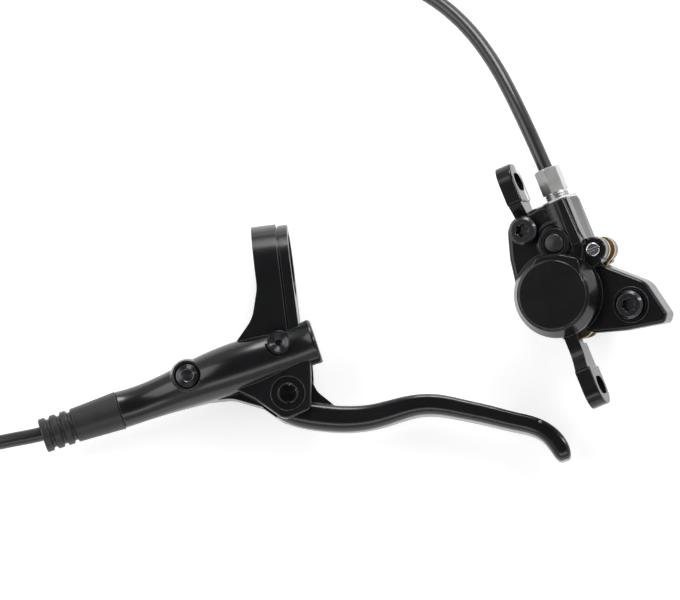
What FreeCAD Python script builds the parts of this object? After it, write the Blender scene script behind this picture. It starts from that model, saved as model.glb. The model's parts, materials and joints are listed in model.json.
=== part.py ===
import FreeCAD, Part
import Sketcher
import math
import os
import re

# A bicycle hydraulic disc brake: hand lever with its master cylinder, two-piston caliper and hose.
# Row frame: origin at the middle of the handlebar clamp, +X along the bar towards the lever's tip,
# +Y away from the blade, +Z up from the surface that the brake lies on.

doc = FreeCAD.newDocument("hydraulic_disc_brake")
sizes = doc.addObject("Spreadsheet::Sheet", "sizes")

SIZES = [
    # handlebar clamp
    ("bar_radius", 11.1),
    ("clamp_wall", 3.5),
    ("clamp_band_width", 12.2),
    ("clamp_lip_width", 8.3),
    ("clamp_lip_height", 0.6),
    ("clamp_groove_width", 0.7),
    ("clamp_groove_depth", 0.5),
    ("clamp_slit", 2.0),
    ("clamp_bolt_radius", 2.5),
    ("clamp_bolt_head_radius", 4.1),
    ("clamp_bolt_head_height", 3.8),
    ("clamp_bolt_offset", 18.0),
    # master cylinder casting
    ("cylinder_angle", 11.6),
    ("cylinder_length", 70.2),
    ("cylinder_radius", 8.1),
    ("neck_radius", 6.35),
    ("casting_depth", 4.6),
    ("bore_radius", 4.5),
    ("bore_start", 15.5),
    ("cavity_reach", 9.05),
    ("end_wall", 2.9),
    ("reservoir_start", 30.5),
    ("reservoir_radius", 2.8),
    ("reservoir_height", 8.0),
    ("port_thread_radius", 3.9),
    ("web_thickness", 7.0),
    # lever pivot
    ("pivot_setback", 14.65),
    ("pivot_drop", 13.85),
    ("ear_height", 9.2),
    ("hub_gap", 6.3),
    ("hub_radius", 7.4),
    ("hub_clearance", 0.3),
    ("pivot_pin_radius", 3.0),
    ("pivot_head_radius", 5.2),
    ("pivot_head_height", 3.0),
    ("bush_wall", 0.55),
    ("arm_thickness", 6.4),
    ("arm_nose_radius", 3.2),
    ("arm_lean", 14.0),
    # lever blade
    ("blade_length", 92.0),
    ("blade_drop", 33.4),
    ("blade_height", 8.9),
    ("blade_width", 13.0),
    # master piston and what drives it
    ("piston_length", 13.6),
    ("cup_width", 1.8),
    ("cup_groove_radius", 3.2),
    ("push_rod_radius", 1.4),
    ("push_rod_ball_radius", 2.0),
    ("push_rod_head_radius", 3.0),
    ("push_rod_head", 1.4),
    ("return_spring_radius", 3.3),
    ("return_spring_wire", 0.8),
    ("return_spring_pitch", 2.9),
    ("ring_thickness", 0.8),
    # screws and plugs on the casting
    ("bleed_ahead", 2.55),
    ("bleed_offset", 3.0),
    ("bleed_head_radius", 4.0),
    ("bleed_head_height", 1.8),
    ("bleed_thread_radius", 1.9),
    ("plug_station", 25.2),
    ("plug_offset", 2.5),
    ("plug_radius", 3.85),
    ("plug_height", 1.7),
    ("recess_clearance", 0.8),
    ("seal_wire", 0.9),
    # hose and its fittings
    ("hose_radius", 2.5),
    ("nut_across_flats", 8.0),
    ("nut_hex_length", 8.6),
    ("nut_thread_length", 7.2),
    ("olive_length", 1.9),
    ("olive_radius", 3.3),
    ("insert_radius", 1.1),
    ("insert_length", 9.0),
    ("boot_length", 28.0),
    ("boot_radius", 6.6),
    ("coil_mean_radius", 25.0),
    ("coil_left", -124.0),
    ("coil_up", 82.0),
    # caliper castings
    ("caliper_x", 96.4),
    ("caliper_y", -18.9),
    ("caliper_turn", 13.7),
    ("caliper_lean", 14.0),
    ("caliper_pitch", 6.0),
    ("housing_radius", 14.7),
    ("housing_x", -0.7),
    ("housing_y", -3.4),
    ("disc_radius", 11.6),
    ("outer_depth", 19.0),
    ("inner_depth", 16.5),
    ("block_depth", 15.0),
    ("shoulder_depth", 12.6),
    ("wing_depth", 6.5),
    ("mount_spacing", 74.0),
    ("mount_depth", 9.3),
    ("ear_width", 15.0),
    ("ear_left", -3.9),
    ("ear_right", 1.4),
    ("ear_tip", 6.7),
    ("ear_step", 0.8),
    ("slot_width", 6.4),
    ("slot_length", 10.0),
    ("rotor_radius", 80.0),
    ("rotor_gap", 3.8),
    ("rotor_reach", 8.5),
    # caliper hydraulics
    ("caliper_piston_radius", 11.0),
    ("caliper_piston_length", 7.5),
    ("piston_seal_width", 1.8),
    ("piston_seal_depth", 0.95),
    ("seal_station", 8.1),
    ("caliper_bore_depth", 13.4),
    ("fit_clearance", 0.05),
    # pads
    ("pad_gap", 2.6),
    ("lining_thickness", 2.0),
    ("pad_plate_thickness", 2.0),
    ("pad_half_width", 16.2),
    ("pad_half_height", 11.2),
    ("pad_tab_half_width", 4.4),
    ("pad_pin_x", 16.5),
    ("pad_pin_y", 5.9),
    ("pad_pin_radius", 1.5),
    ("pad_pin_head_radius", 2.4),
    # caliper screws
    ("body_bolt_radius", 3.0),
    ("body_bolt_head_radius", 4.8),
    ("body_bolt_head_height", 4.6),
    ("body_bolt_socket", 5.2),
    ("upper_bolt_x", -2.3),
    ("upper_bolt_y", 20.6),
    ("lower_bolt_x", 20.6),
    ("lower_bolt_y", -15.9),
    ("nipple_x", 5.9),
    ("nipple_y", 12.6),
    ("nipple_radius", 2.5),
    ("nipple_rim", 15.6),
    ("nipple_seat", 12.4),
    ("nipple_cap_radius", 3.3),
    ("hose_port_x", 11.0),
    ("hose_port_depth", 5.6),
    ("hose_port_face", 26.4),
]

for row, (name, value) in enumerate(SIZES, start=1):
    sizes.set("A%d" % row, name)
    sizes.set("B%d" % row, str(value))
    sizes.setAlias("B%d" % row, name)
doc.recompute()

SOLID_NAMES = []


def size(name):
    return float(getattr(sizes, name))


def formula(text):
    """A formula written with size names, ready to bind to a property."""
    return re.sub(r"[a-z]+(_[a-z]+)+", r"sizes.\g<0>", text)


def vec(x, y, z=0.0):
    return FreeCAD.Vector(x, y, z)


X_AXIS = vec(1, 0, 0)
Y_AXIS = vec(0, 1, 0)
Z_AXIS = vec(0, 0, 1)


def at(x, y, z=0.0, toward=Z_AXIS):
    """A place whose own Z axis points along toward."""
    return FreeCAD.Placement(vec(x, y, z), FreeCAD.Rotation(Z_AXIS, toward))


# Shared construction helpers

def primitive(kind, name, where, **formulas):
    obj = doc.addObject("Part::" + kind, name)
    for prop, text in formulas.items():
        obj.setExpression(prop, formula(text))
    obj.Placement = where
    return obj


def cylinder(name, radius, height, where):
    return primitive("Cylinder", name, where, Radius=radius, Height=height)


def cone(name, radius1, radius2, height, where):
    return primitive("Cone", name, where, Radius1=radius1, Radius2=radius2, Height=height)


def hexagon(name, across_flats, height, where):
    return primitive("Prism", name, where, Circumradius="(%s) / sqrt(3)" % across_flats, Height=height)


def star(name, radius, height, where):
    """A six-lobe socket: lobes out to the radius with hollows between them."""
    corners = []
    for k in range(12):
        reach = radius * (1.06 if k % 2 == 0 else 0.72)
        turn = math.radians(30 * k)
        corners.append((reach * math.cos(turn), reach * math.sin(turn), 0.16 * radius))
    return prism(name, corners, height, where)


def box(name, low, high, where=None):
    obj = doc.addObject("Part::Box", name)
    obj.Length = high[0] - low[0]
    obj.Width = high[1] - low[1]
    obj.Height = high[2] - low[2]
    corner = at(*low)
    obj.Placement = where.multiply(corner) if where else corner
    return obj


def corner_path(corners):
    """Closed outline through (x, y) or (x, y, radius) corners, each radius as a tangent arc."""
    count = len(corners)
    starts = []
    arcs = []
    for i, corner in enumerate(corners):
        here = vec(corner[0], corner[1])
        radius = corner[2] if len(corner) > 2 else 0.0
        back = (vec(*corners[i - 1][:2]) - here).normalize()
        ahead = (vec(*corners[(i + 1) % count][:2]) - here).normalize()
        half = back.getAngle(ahead) / 2.0
        if radius <= 0.0:
            starts.append((here, here))
            arcs.append(None)
            continue
        reach = radius / math.tan(half)
        middle_way = (back + ahead).normalize()
        middle = here + middle_way * (radius / math.sin(half) - radius)
        starts.append((here + back * reach, here + ahead * reach))
        arcs.append(middle)
    edges = []
    for i in range(count):
        if arcs[i] is not None:
            edges.append(Part.Arc(starts[i][0], arcs[i], starts[i][1]))
        leave = starts[i][1]
        arrive = starts[(i + 1) % count][0]
        if leave.distanceToPoint(arrive) > 1e-6:
            edges.append(Part.LineSegment(leave, arrive))
    return edges


def outline_sketch(name, corners, where):
    sketch = doc.addObject("Sketcher::SketchObject", name + "_outline")
    for edge in corner_path(corners):
        sketch.addGeometry(edge, False)
    sketch.Placement = where
    return sketch


def prism(name, corners, height, where=None):
    """The outline drawn in the place's XY plane, raised along its Z axis."""
    sketch = outline_sketch(name, corners, where or at(0, 0))
    raised = doc.addObject("Part::Extrusion", name)
    raised.Base = sketch
    raised.DirMode = "Normal"
    raised.Solid = True
    raised.setExpression("LengthFwd", formula(height))
    return raised


def turned(name, profile, where=None):
    """A profile of (radius, height) corners turned about the place's Z axis."""
    upright = FreeCAD.Placement(vec(0, 0, 0), FreeCAD.Rotation(X_AXIS, 90))
    place = (where or at(0, 0)).multiply(upright)
    sketch = outline_sketch(name, profile, place)
    spun = doc.addObject("Part::Revolution", name)
    spun.Source = sketch
    spun.Solid = True
    spun.Angle = 360
    spun.Base = place.Base
    spun.Axis = place.Rotation.multVec(Y_AXIS)
    return spun


def fuse(name, *pieces):
    joined = doc.addObject("Part::MultiFuse", name)
    joined.Shapes = list(pieces)
    joined.Refine = True
    return joined


def common(name, *pieces):
    shared = doc.addObject("Part::MultiCommon", name)
    shared.Shapes = list(pieces)
    return shared


def cut(name, base, *tools):
    tool = tools[0] if len(tools) == 1 else fuse(name + "_tools", *tools)
    taken = doc.addObject("Part::Cut", name)
    taken.Base = base
    taken.Tool = tool
    taken.Refine = True
    return taken


def soften(name, base, radius, pick):
    """Round the base's edges for which pick(edge) is true."""
    doc.recompute()
    rounded = doc.addObject("Part::Fillet", name)
    rounded.Base = base
    chosen = [i for i, edge in enumerate(base.Shape.Edges, start=1) if pick(edge)]
    rounded.Edges = [(i, radius, radius) for i in chosen]
    return rounded


def level(height, where=None):
    """Pick the edges that lie wholly at one height of the place's Z axis."""
    back = (where or at(0, 0)).inverse()

    def chosen(edge):
        count = 5
        span = edge.LastParameter - edge.FirstParameter
        points = [edge.valueAt(edge.FirstParameter + span * k / (count - 1)) for k in range(count)]
        return all(abs(back.multVec(point).z - height) < 1e-4 for point in points)

    return chosen


def feature(name, shape, where=None):
    obj = doc.addObject("Part::Feature", name)
    obj.Shape = shape
    if where:
        obj.Placement = where
    return obj


def node(obj, label, frame):
    """Name a finished sub-part and set it in its assembly's frame."""
    obj.Label = label
    obj.Placement = frame.multiply(obj.Placement)
    SOLID_NAMES.append(obj.Name)
    return obj


# Frames of the two assemblies

clamp_radius = size("bar_radius") + size("clamp_wall")
floor_height = -clamp_radius
axis_turn = FreeCAD.Rotation(Z_AXIS, size("cylinder_angle"))
axis_way = axis_turn.multVec(X_AXIS)
axis_side = axis_turn.multVec(Y_AXIS)

# Stations along the cylinder, counted from the hose port's face
pivot_station = size("cylinder_length") - size("pivot_setback")
cavity_start = pivot_station - size("cavity_reach")
bleed_station = pivot_station + size("bleed_ahead")

# The pivot sits on the bar's own cross plane; the cylinder's start follows from it.
pivot_point = vec(0.0, -44.4)
axis_start = pivot_point - axis_way * pivot_station + axis_side * size("pivot_drop")
AXIS = FreeCAD.Placement(axis_start, axis_turn)


def on_axis(station, offset=0.0, height=0.0):
    """A place on the cylinder's axis frame whose Z axis runs along the cylinder."""
    return AXIS.multiply(at(station, offset, height, toward=X_AXIS))


def over_axis(station, offset=0.0, height=0.0):
    """A place over the cylinder whose Z axis is the lever's own up."""
    return AXIS.multiply(at(station, offset, height))


# The lever assembly rolls about the bar until the pivot bolt's head meets the surface.
head_low = size("ear_height") + size("pivot_head_height")
head_out = -pivot_point.y + size("pivot_head_radius")
roll = math.asin(clamp_radius / math.hypot(head_low, head_out)) - math.atan2(head_low, head_out)
LEVER = FreeCAD.Placement(vec(0, 0, 0), FreeCAD.Rotation(X_AXIS, math.degrees(roll)))

caliper_rotation = FreeCAD.Rotation(Z_AXIS, size("caliper_turn"))
caliper_rotation = caliper_rotation.multiply(FreeCAD.Rotation(Y_AXIS, -size("caliper_lean")))
caliper_rotation = caliper_rotation.multiply(FreeCAD.Rotation(X_AXIS, size("caliper_pitch")))
BACK_FILLET = 3.0
back_rim = size("housing_radius") - BACK_FILLET
back_middle = caliper_rotation.multVec(
    vec(size("housing_x"), size("housing_y"), BACK_FILLET - size("inner_depth")))
caliper_up = caliper_rotation.multVec(Z_AXIS).z
back_low = back_middle.z - back_rim * math.sqrt(1.0 - caliper_up ** 2) - BACK_FILLET
CALIPER = FreeCAD.Placement(
    vec(size("caliper_x"), size("caliper_y"), floor_height - back_low), caliper_rotation)

# Pad frame: +X from the wheel's hub through the pistons' axis to the pad pin, origin on the pistons' axis
pin_run = vec(size("pad_pin_x") - size("housing_x"), size("pad_pin_y") - size("housing_y"))
pin_reach = pin_run.Length
pad_angle = math.degrees(math.atan2(pin_run.y, pin_run.x))
PADS = FreeCAD.Placement(
    vec(size("housing_x"), size("housing_y")), FreeCAD.Rotation(Z_AXIS, pad_angle))


# Master cylinder casting

def stadium(station, radius, offset, low, high):
    """Cross-section of the casting: two half circles one above the other, joined by flats."""
    middle = over_axis(station, offset)
    corners = [vec(0, radius, low), vec(0, radius, high), vec(0, -radius, high), vec(0, -radius, low)]
    tops = [vec(0, 0, high + radius), vec(0, 0, low - radius)]
    corners = [middle.multVec(point) for point in corners]
    tops = [middle.multVec(point) for point in tops]
    return Part.Wire([
        Part.LineSegment(corners[0], corners[1]).toShape(),
        Part.Arc(corners[1], tops[0], corners[2]).toShape(),
        Part.LineSegment(corners[2], corners[3]).toShape(),
        Part.Arc(corners[3], tops[1], corners[0]).toShape(),
    ])


def casting_tube():
    neck = size("neck_radius")
    full = size("cylinder_radius")
    depth = size("casting_depth")
    length = size("cylinder_length")
    sections = [
        stadium(0.0, neck, 0.0, 0.0, 0.6),
        stadium(13.0, neck + 0.1, 0.0, 0.0, 0.7),
        stadium(22.0, neck + 0.45 * (full - neck), 0.2, 0.2, 0.6 * depth),
        stadium(33.0, full, 0.4, 0.4, 0.4 + depth),
        stadium(length - 18.2, full + 0.1, 0.45, 0.4, 0.4 + depth),
        stadium(length, full, 0.45, 0.4, 0.4 + depth),
    ]
    tube = Part.makeLoft(sections, True, False)
    end_edges = [edge for edge in tube.Edges if level(length, on_axis(0.0))(edge)]
    return feature("casting_tube", tube.makeFillet(1.1, end_edges))


def lever_bracket():
    """The block under the cylinder that becomes the two lever ears, with the clamp side web."""
    ear = size("ear_height")
    px, py = pivot_point.x, pivot_point.y
    corners = [
        (px + 9.0, py + 14.0),
        (px + 8.6, py + 6.0),
        (px + 7.2, py - 6.2, 2.2),
        (px - 2.0, py - 8.9, 4.0),
        (px - 11.4, py - 0.4, 5.0),
        (px - 17.5, py + 3.4),
        (px - 17.5, py + 9.0),
    ]
    block = prism("bracket_block", corners, "2 * ear_height", at(0, 0, -ear))
    block = soften("bracket_rounded", block, 0.7, level(ear))
    web_corners = [
        (22.0, 0.0),
        (22.0, -size("neck_radius") + 1.0),
        (pivot_station - 18.5, -size("cylinder_radius") - 0.7, 10.0),
        (pivot_station - 9.5, -15.0),
        (pivot_station - 9.5, 0.0),
    ]
    web = prism("lower_web", web_corners, "web_thickness", over_axis(0, 0, -size("web_thickness") / 2))
    return [block, web]


def tangent_point(point, radius, side):
    """Where a line from the point touches a circle about the bar; side picks the upper or lower one."""
    turn = side * math.acos(radius / point.Length)
    way = math.atan2(point.y, point.x) - turn
    return vec(radius * math.cos(way), radius * math.sin(way))


def clamp_slice(name, radius, low, high):
    """One width of the clamp: the ring with its straight flanks running into the casting and the lug."""
    drop = clamp_radius - radius
    neck_top = vec(-27.0, 8.4 - drop)
    lug_foot = vec(-size("clamp_bolt_offset") - 4.6, -clamp_radius + 2.4 + drop)
    upper = tangent_point(neck_top, radius, 1)
    lower = tangent_point(lug_foot, radius, -1)
    side = [
        (upper.x, upper.y),
        (neck_top.x, neck_top.y),
        (neck_top.x, -3.0),
        (lug_foot.x, -3.5),
        (lug_foot.x, lug_foot.y, 1.5),
        (lower.x, lower.y),
    ]
    place = FreeCAD.Placement(vec(low, 0, 0), FreeCAD.Rotation(Y_AXIS, Z_AXIS, X_AXIS, "ZXY"))
    flanks = prism(name + "_flanks", side, str(high - low), place)
    ring = cylinder(name + "_ring", str(radius), str(high - low), at(low, 0, 0, X_AXIS))
    return [flanks, ring]


def clamp_band():
    """Clamp ring and neck: a raised band, a groove and a lower band, all within one plan."""
    half = size("clamp_band_width") / 2
    groove_start = size("clamp_lip_width") - half
    groove_end = groove_start + size("clamp_groove_width")
    low_radius = clamp_radius - size("clamp_lip_height")
    pieces = clamp_slice("high_band", clamp_radius, -15.0, groove_start)
    pieces += clamp_slice("groove_band", low_radius - size("clamp_groove_depth"), groove_start, groove_end)
    pieces += clamp_slice("low_band", low_radius, groove_end, half + 0.2)
    plan = [
        (-half, 20.0),
        (-half, -8.0, 14.0),
        (-9.0, -18.0, 12.0),
        (-15.0, -24.5),
        (-15.0, -28.0),
        (half + 0.2, -28.0),
        (half, 0.0),
        (half, 20.0),
    ]
    top_view = prism("clamp_plan", plan, "40", at(0, 0, -20))
    return common("clamp_band", fuse("clamp_slices", *pieces), top_view)


def master_cylinder_body():
    boss = size("plug_radius") + size("recess_clearance")
    plug_boss = turned("plug_boss", [
        (0.0, 2.0), (boss + 1.6, 2.0), (boss + 1.6, plug_seat() - 2.4, 2.0), (boss + 0.6, plug_seat() + 0.9, 0.4),
        (0.0, plug_seat() + 0.9),
    ], over_axis(size("plug_station"), size("plug_offset")))
    solid = fuse("casting_solid", casting_tube(), *lever_bracket(), clamp_band(), plug_boss)

    ear = size("ear_height")
    slit = size("clamp_slit")
    bolt_y = -size("clamp_bolt_offset")
    station = pivot_station
    drop = size("pivot_drop")
    cavity_end = size("cylinder_length") - size("end_wall")
    opening_top = -drop + size("hub_radius") + 0.6
    tools = [
        cylinder("bar_bore", "bar_radius", "clamp_band_width + 40", at(-26, 0, 0, X_AXIS)),
        box("pinch_slit", (-20, bolt_y - 5.4, -3.0 - slit), (20, -5.0, -3.0)),
        cylinder("clamp_bolt_clearance", "clamp_bolt_radius + 0.3", "12", at(0, bolt_y, -16)),
        cylinder("clamp_bolt_thread", "clamp_bolt_radius + fit_clearance / 2", "8.5", at(0, bolt_y, -4)),
        cylinder("clamp_bolt_recess", "clamp_bolt_head_radius + 0.4", "6", at(0, bolt_y, -15.4)),
        cylinder("pivot_hole", "pivot_pin_radius + fit_clearance", "40",
                 at(pivot_point.x, pivot_point.y, -20)),
        cylinder("pivot_counterbore", "pivot_head_radius + 0.6", "5",
                 at(pivot_point.x, pivot_point.y, ear - 1.2)),
        box("lever_gap", (station - 9.6, -40, -size("hub_gap")), (station + 25, opening_top, size("hub_gap")),
            over_axis(0)),
        box("arm_cavity", (cavity_start, -16, -size("arm_thickness") / 2 - 0.5),
            (cavity_end, 4.3, size("arm_thickness") / 2 + 0.5), over_axis(0)),
        cylinder("piston_bore", "bore_radius", str(cavity_start - size("bore_start") + 1),
                 on_axis(size("bore_start"))),
        cylinder("ring_groove", "bore_radius + 0.45", "ring_thickness + 0.2", on_axis(cavity_start - 1.9)),
        cylinder("hose_port", "port_thread_radius + fit_clearance", str(port_depth() + 0.5), on_axis(-0.5)),
        cylinder("port_passage", "insert_radius", "8", on_axis(9.0)),
        cylinder("reservoir_chamber", "reservoir_radius", "cylinder_length - reservoir_start - 6.2",
                 on_axis(size("reservoir_start"), 2.0, size("reservoir_height"))),
        cylinder("plug_passage", "0.8", "9", on_axis(size("plug_station"), size("plug_offset"), 7.4)),
        cylinder("fluid_hole", "0.6", "5", over_axis(size("reservoir_start") + 1.1, 1.0, 3.0)),
        cylinder("bleed_recess", "bleed_head_radius + recess_clearance", "6",
                 over_axis(bleed_station, size("bleed_offset"), bleed_seat())),
        cylinder("bleed_hole", "bleed_thread_radius + fit_clearance", "4",
                 over_axis(bleed_station, size("bleed_offset"), bleed_seat() - 3)),
        cylinder("plug_recess", "plug_radius + recess_clearance", "6",
                 over_axis(size("plug_station"), size("plug_offset"), plug_seat())),
        cylinder("plug_hole", "2.2", "5", over_axis(size("plug_station"), size("plug_offset"), plug_seat() - 3)),
    ]
    node(cut("master_cylinder_casting", solid, *tools), "master_cylinder_body", LEVER)


def bleed_seat():
    return size("cylinder_radius") + size("casting_depth") - 0.7


def plug_seat():
    return 9.2


def clamp_bolt():
    bolt_y = -size("clamp_bolt_offset")
    head_seat = -9.4
    head = cylinder("clamp_bolt_head", "clamp_bolt_head_radius", "clamp_bolt_head_height",
                    at(0, bolt_y, head_seat - size("clamp_bolt_head_height")))
    shank = cylinder("clamp_bolt_shank", "clamp_bolt_radius", "13.2", at(0, bolt_y, head_seat))
    socket = hexagon("clamp_bolt_socket", "4", "2.4",
                     at(0, bolt_y, head_seat - size("clamp_bolt_head_height") - 0.1))
    node(cut("clamp_bolt_solid", fuse("clamp_bolt_blank", head, shank), socket), "clamp_bolt", LEVER)


# Lever blade, hub and push arm

# Share of blade_length ahead of the pivot, share of blade_drop below it, share of blade_height,
# share of blade_width, from the hub to the tip
BLADE = [
    (-0.048, 0.150, 0.42, 0.78),
    (0.015, 0.188, 0.92, 0.84),
    (0.100, 0.255, 1.00, 0.84),
    (0.200, 0.310, 0.98, 0.86),
    (0.300, 0.318, 0.92, 0.90),
    (0.380, 0.288, 0.86, 0.96),
    (0.460, 0.262, 0.79, 1.00),
    (0.540, 0.283, 0.76, 1.00),
    (0.630, 0.360, 0.72, 1.00),
    (0.720, 0.447, 0.70, 1.00),
    (0.810, 0.542, 0.68, 0.98),
    (0.880, 0.615, 0.67, 0.96),
    (0.930, 0.712, 0.69, 0.94),
    (0.962, 0.840, 0.71, 0.92),
    (0.978, 0.955, 0.56, 0.76),
    (0.981, 0.995, 0.30, 0.46),
]


def blade_section(middle, way, height, width):
    """Rounded section across the blade: a full finger side and a flatter bar side."""
    side = vec(-way.y, way.x)
    half_height = height / 2
    half_width = width / 2
    finger = 0.46 * height
    bar = 0.26 * height
    place = FreeCAD.Placement(middle, FreeCAD.Rotation(side, Z_AXIS, way, "ZXY"))
    corners = [
        (half_height, half_width, bar),
        (-half_height, half_width, finger),
        (-half_height, -half_width, finger),
        (half_height, -half_width, bar),
    ]
    wire = Part.Wire([edge.toShape() for edge in corner_path(corners)])
    wire.Placement = place
    return wire


def blade():
    middles = []
    for forward, down, _, _ in BLADE:
        middles.append(pivot_point + vec(forward * size("blade_length"), -down * size("blade_drop")))
    sections = []
    for i, middle in enumerate(middles):
        before = middles[max(i - 1, 0)]
        after = middles[min(i + 1, len(middles) - 1)]
        way = (after - before).normalize()
        height = BLADE[i][2] * size("blade_height")
        width = BLADE[i][3] * size("blade_width")
        sections.append(blade_section(middle, way, height, width))
    return feature("blade_loft", Part.makeLoft(sections, True, False))


def nose_place():
    """Middle of the push arm's nose, on the cylinder's axis, leaning past the pivot at rest."""
    lean = math.radians(size("arm_lean"))
    return pivot_station + size("pivot_drop") * math.tan(lean / 2), 0.0


def brake_lever():
    px, py = pivot_point.x, pivot_point.y
    gap = size("hub_clearance")
    hub_half = size("hub_gap") - gap
    arm_half = size("arm_thickness") / 2
    nose_station, nose_offset = nose_place()
    hub = feature("lever_hub_blank", Part.makeCylinder(size("hub_radius"), 2 * hub_half, vec(px, py, -hub_half)))
    nose = cylinder("arm_nose", "arm_nose_radius", "arm_thickness",
                    over_axis(nose_station, nose_offset, -arm_half))
    drop = -size("pivot_drop")
    station = pivot_station
    radius = size("arm_nose_radius")
    arm = prism("push_arm", [
        (station - 5.2, drop),
        (nose_station - radius + 0.45, nose_offset - size("push_rod_head_radius") - 1.4),
        (nose_station - radius + 0.02, nose_offset),
        (nose_station + radius - 0.02, nose_offset),
        (nose_station + radius + 0.6, nose_offset - 5.0, 6.0),
        (station + 8.6, drop + 4.5, 5.0),
        (station + 9.6, drop - 2.0, 5.0),
        (station + 14.5, drop - 9.6),
        (station + 6.0, drop - 9.6),
    ], "arm_thickness", over_axis(0, 0, -arm_half))
    solid = fuse("lever_solid", hub, nose, arm, blade())
    bore = cylinder("bush_bore", "pivot_pin_radius + fit_clearance + bush_wall", "40", at(px, py, -20))
    node(cut("lever_forging", solid, bore), "brake_lever", LEVER)


def pivot_parts():
    px, py = pivot_point.x, pivot_point.y
    ear = size("ear_height")
    shaft = cylinder("pivot_shaft", "pivot_pin_radius", "2 * ear_height - 0.2", at(px, py, -ear))
    head = cylinder("pivot_head", "pivot_head_radius", "pivot_head_height",
                    at(px, py, -ear - size("pivot_head_height")))
    head = soften("pivot_head_rounded", head, 0.5, level(-ear - size("pivot_head_height")))
    socket = hexagon("pivot_socket", "4", "2", at(px, py, -ear - size("pivot_head_height") - 0.1))
    groove_low = ear - 1.1
    groove = turned("circlip_groove", [
        (2.6, groove_low), (4.0, groove_low), (4.0, groove_low + 0.7), (2.6, groove_low + 0.7),
    ], at(px, py))
    node(cut("pivot_pin_solid", fuse("pivot_pin_blank", shaft, head), socket, groove),
         "lever_pivot_pin", LEVER)
    clip = turned("circlip_ring", [
        (2.66, groove_low + 0.05), (3.46, groove_low + 0.05), (3.46, groove_low + 0.65),
        (2.66, groove_low + 0.65),
    ], at(px, py))
    mouth = box("circlip_mouth", (px - 0.6, py - 5, ear - 2), (px + 0.6, py, ear + 2))
    node(cut("circlip_solid", clip, mouth), "pivot_circlip", LEVER)

    bush_length = size("hub_gap") - size("hub_clearance") - 0.3
    bushes = []
    for label, low in (("upper_bush", 0.3), ("lower_bush", -0.3 - bush_length)):
        shell = cylinder(label + "_outside", "pivot_pin_radius + fit_clearance + bush_wall - 0.01",
                         str(bush_length), at(px, py, low))
        hole = cylinder(label + "_inside", "pivot_pin_radius + fit_clearance", str(bush_length + 2),
                        at(px, py, low - 1))
        bushes.append(cut(label, shell, hole))
    pair = doc.addObject("Part::Compound", "bush_pair")
    pair.Links = bushes
    node(pair, "pivot_bushes", LEVER)


# What moves and seals inside the master cylinder

def master_piston_parts():
    ring_low = cavity_start - 1.9
    rear = ring_low
    front = rear - size("piston_length")
    radius = size("bore_radius") - size("fit_clearance")
    groove = size("cup_groove_radius")
    cup = size("cup_width")
    ball = size("push_rod_ball_radius")
    first = front + 1.6
    second = rear - 1.6 - cup
    body = turned("piston_body", [
        (0.0, front - 2.0), (2.0, front - 2.0, 0.4), (2.0, front), (radius, front, 0.3),
        (radius, first), (groove, first), (groove, first + cup + 0.1), (radius, first + cup + 0.1),
        (radius, second - 0.1), (groove, second - 0.1), (groove, second + cup), (radius, second + cup),
        (radius, rear), (0.0, rear),
    ], on_axis(0.0))
    cup_seat = primitive("Sphere", "push_rod_socket", on_axis(rear - 0.5),
                         Radius="push_rod_ball_radius + 0.1")
    node(cut("piston_solid", body, cup_seat), "master_piston", LEVER)
    for label, low in (("primary_cup", first + 0.05), ("secondary_cup", second - 0.05)):
        seal = turned(label + "_ring", [
            (groove + 0.05, low), (size("bore_radius") - 0.25, low), (size("bore_radius") - 0.03, low + 0.6),
            (size("bore_radius") - 0.03, low + cup - 0.1), (groove + 0.05, low + cup - 0.1),
        ], on_axis(0.0))
        node(seal, label, LEVER)

    nose_station, _ = nose_place()
    tip = nose_station - size("arm_nose_radius") - size("fit_clearance")
    rod = size("push_rod_radius")
    stem = turned("push_rod_stem", [
        (0.0, rear - 0.5), (rod, rear - 0.5), (rod, tip - size("push_rod_head"), 0.5),
        (size("push_rod_head_radius"), tip - size("push_rod_head"), 0.3),
        (size("push_rod_head_radius"), tip, 0.4), (0.0, tip),
    ], on_axis(0.0))
    rod_ball = primitive("Sphere", "push_rod_ball", on_axis(rear - 0.5), Radius="push_rod_ball_radius")
    node(fuse("push_rod_solid", stem, rod_ball), "push_rod", LEVER)

    ring = turned("retaining_ring_blank", [
        (ball + 0.3, ring_low + 0.1), (size("bore_radius") + 0.4, ring_low + 0.1),
        (size("bore_radius") + 0.4, ring_low + 0.1 + size("ring_thickness")),
        (ball + 0.3, ring_low + 0.1 + size("ring_thickness")),
    ], on_axis(0.0))
    mouth = box("retaining_ring_mouth", (ring_low - 2, -8, -1.1), (ring_low + 3, 0, 1.1), over_axis(0))
    node(cut("retaining_ring_solid", ring, mouth), "piston_retaining_ring", LEVER)

    wire = size("return_spring_wire") / 2
    low = size("bore_start") + wire + 0.05
    high = front - wire - 0.05
    turns = max(1, round((high - low) / size("return_spring_pitch")))
    helix = Part.makeHelix((high - low) / turns, high - low, size("return_spring_radius"))
    circle = Part.Wire([Part.makeCircle(wire, vec(size("return_spring_radius"), 0, 0), Y_AXIS)])
    coil = Part.Wire(helix).makePipeShell([circle], True, True)
    node(feature("return_spring_coil", coil, on_axis(low)), "return_spring", LEVER)


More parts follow.
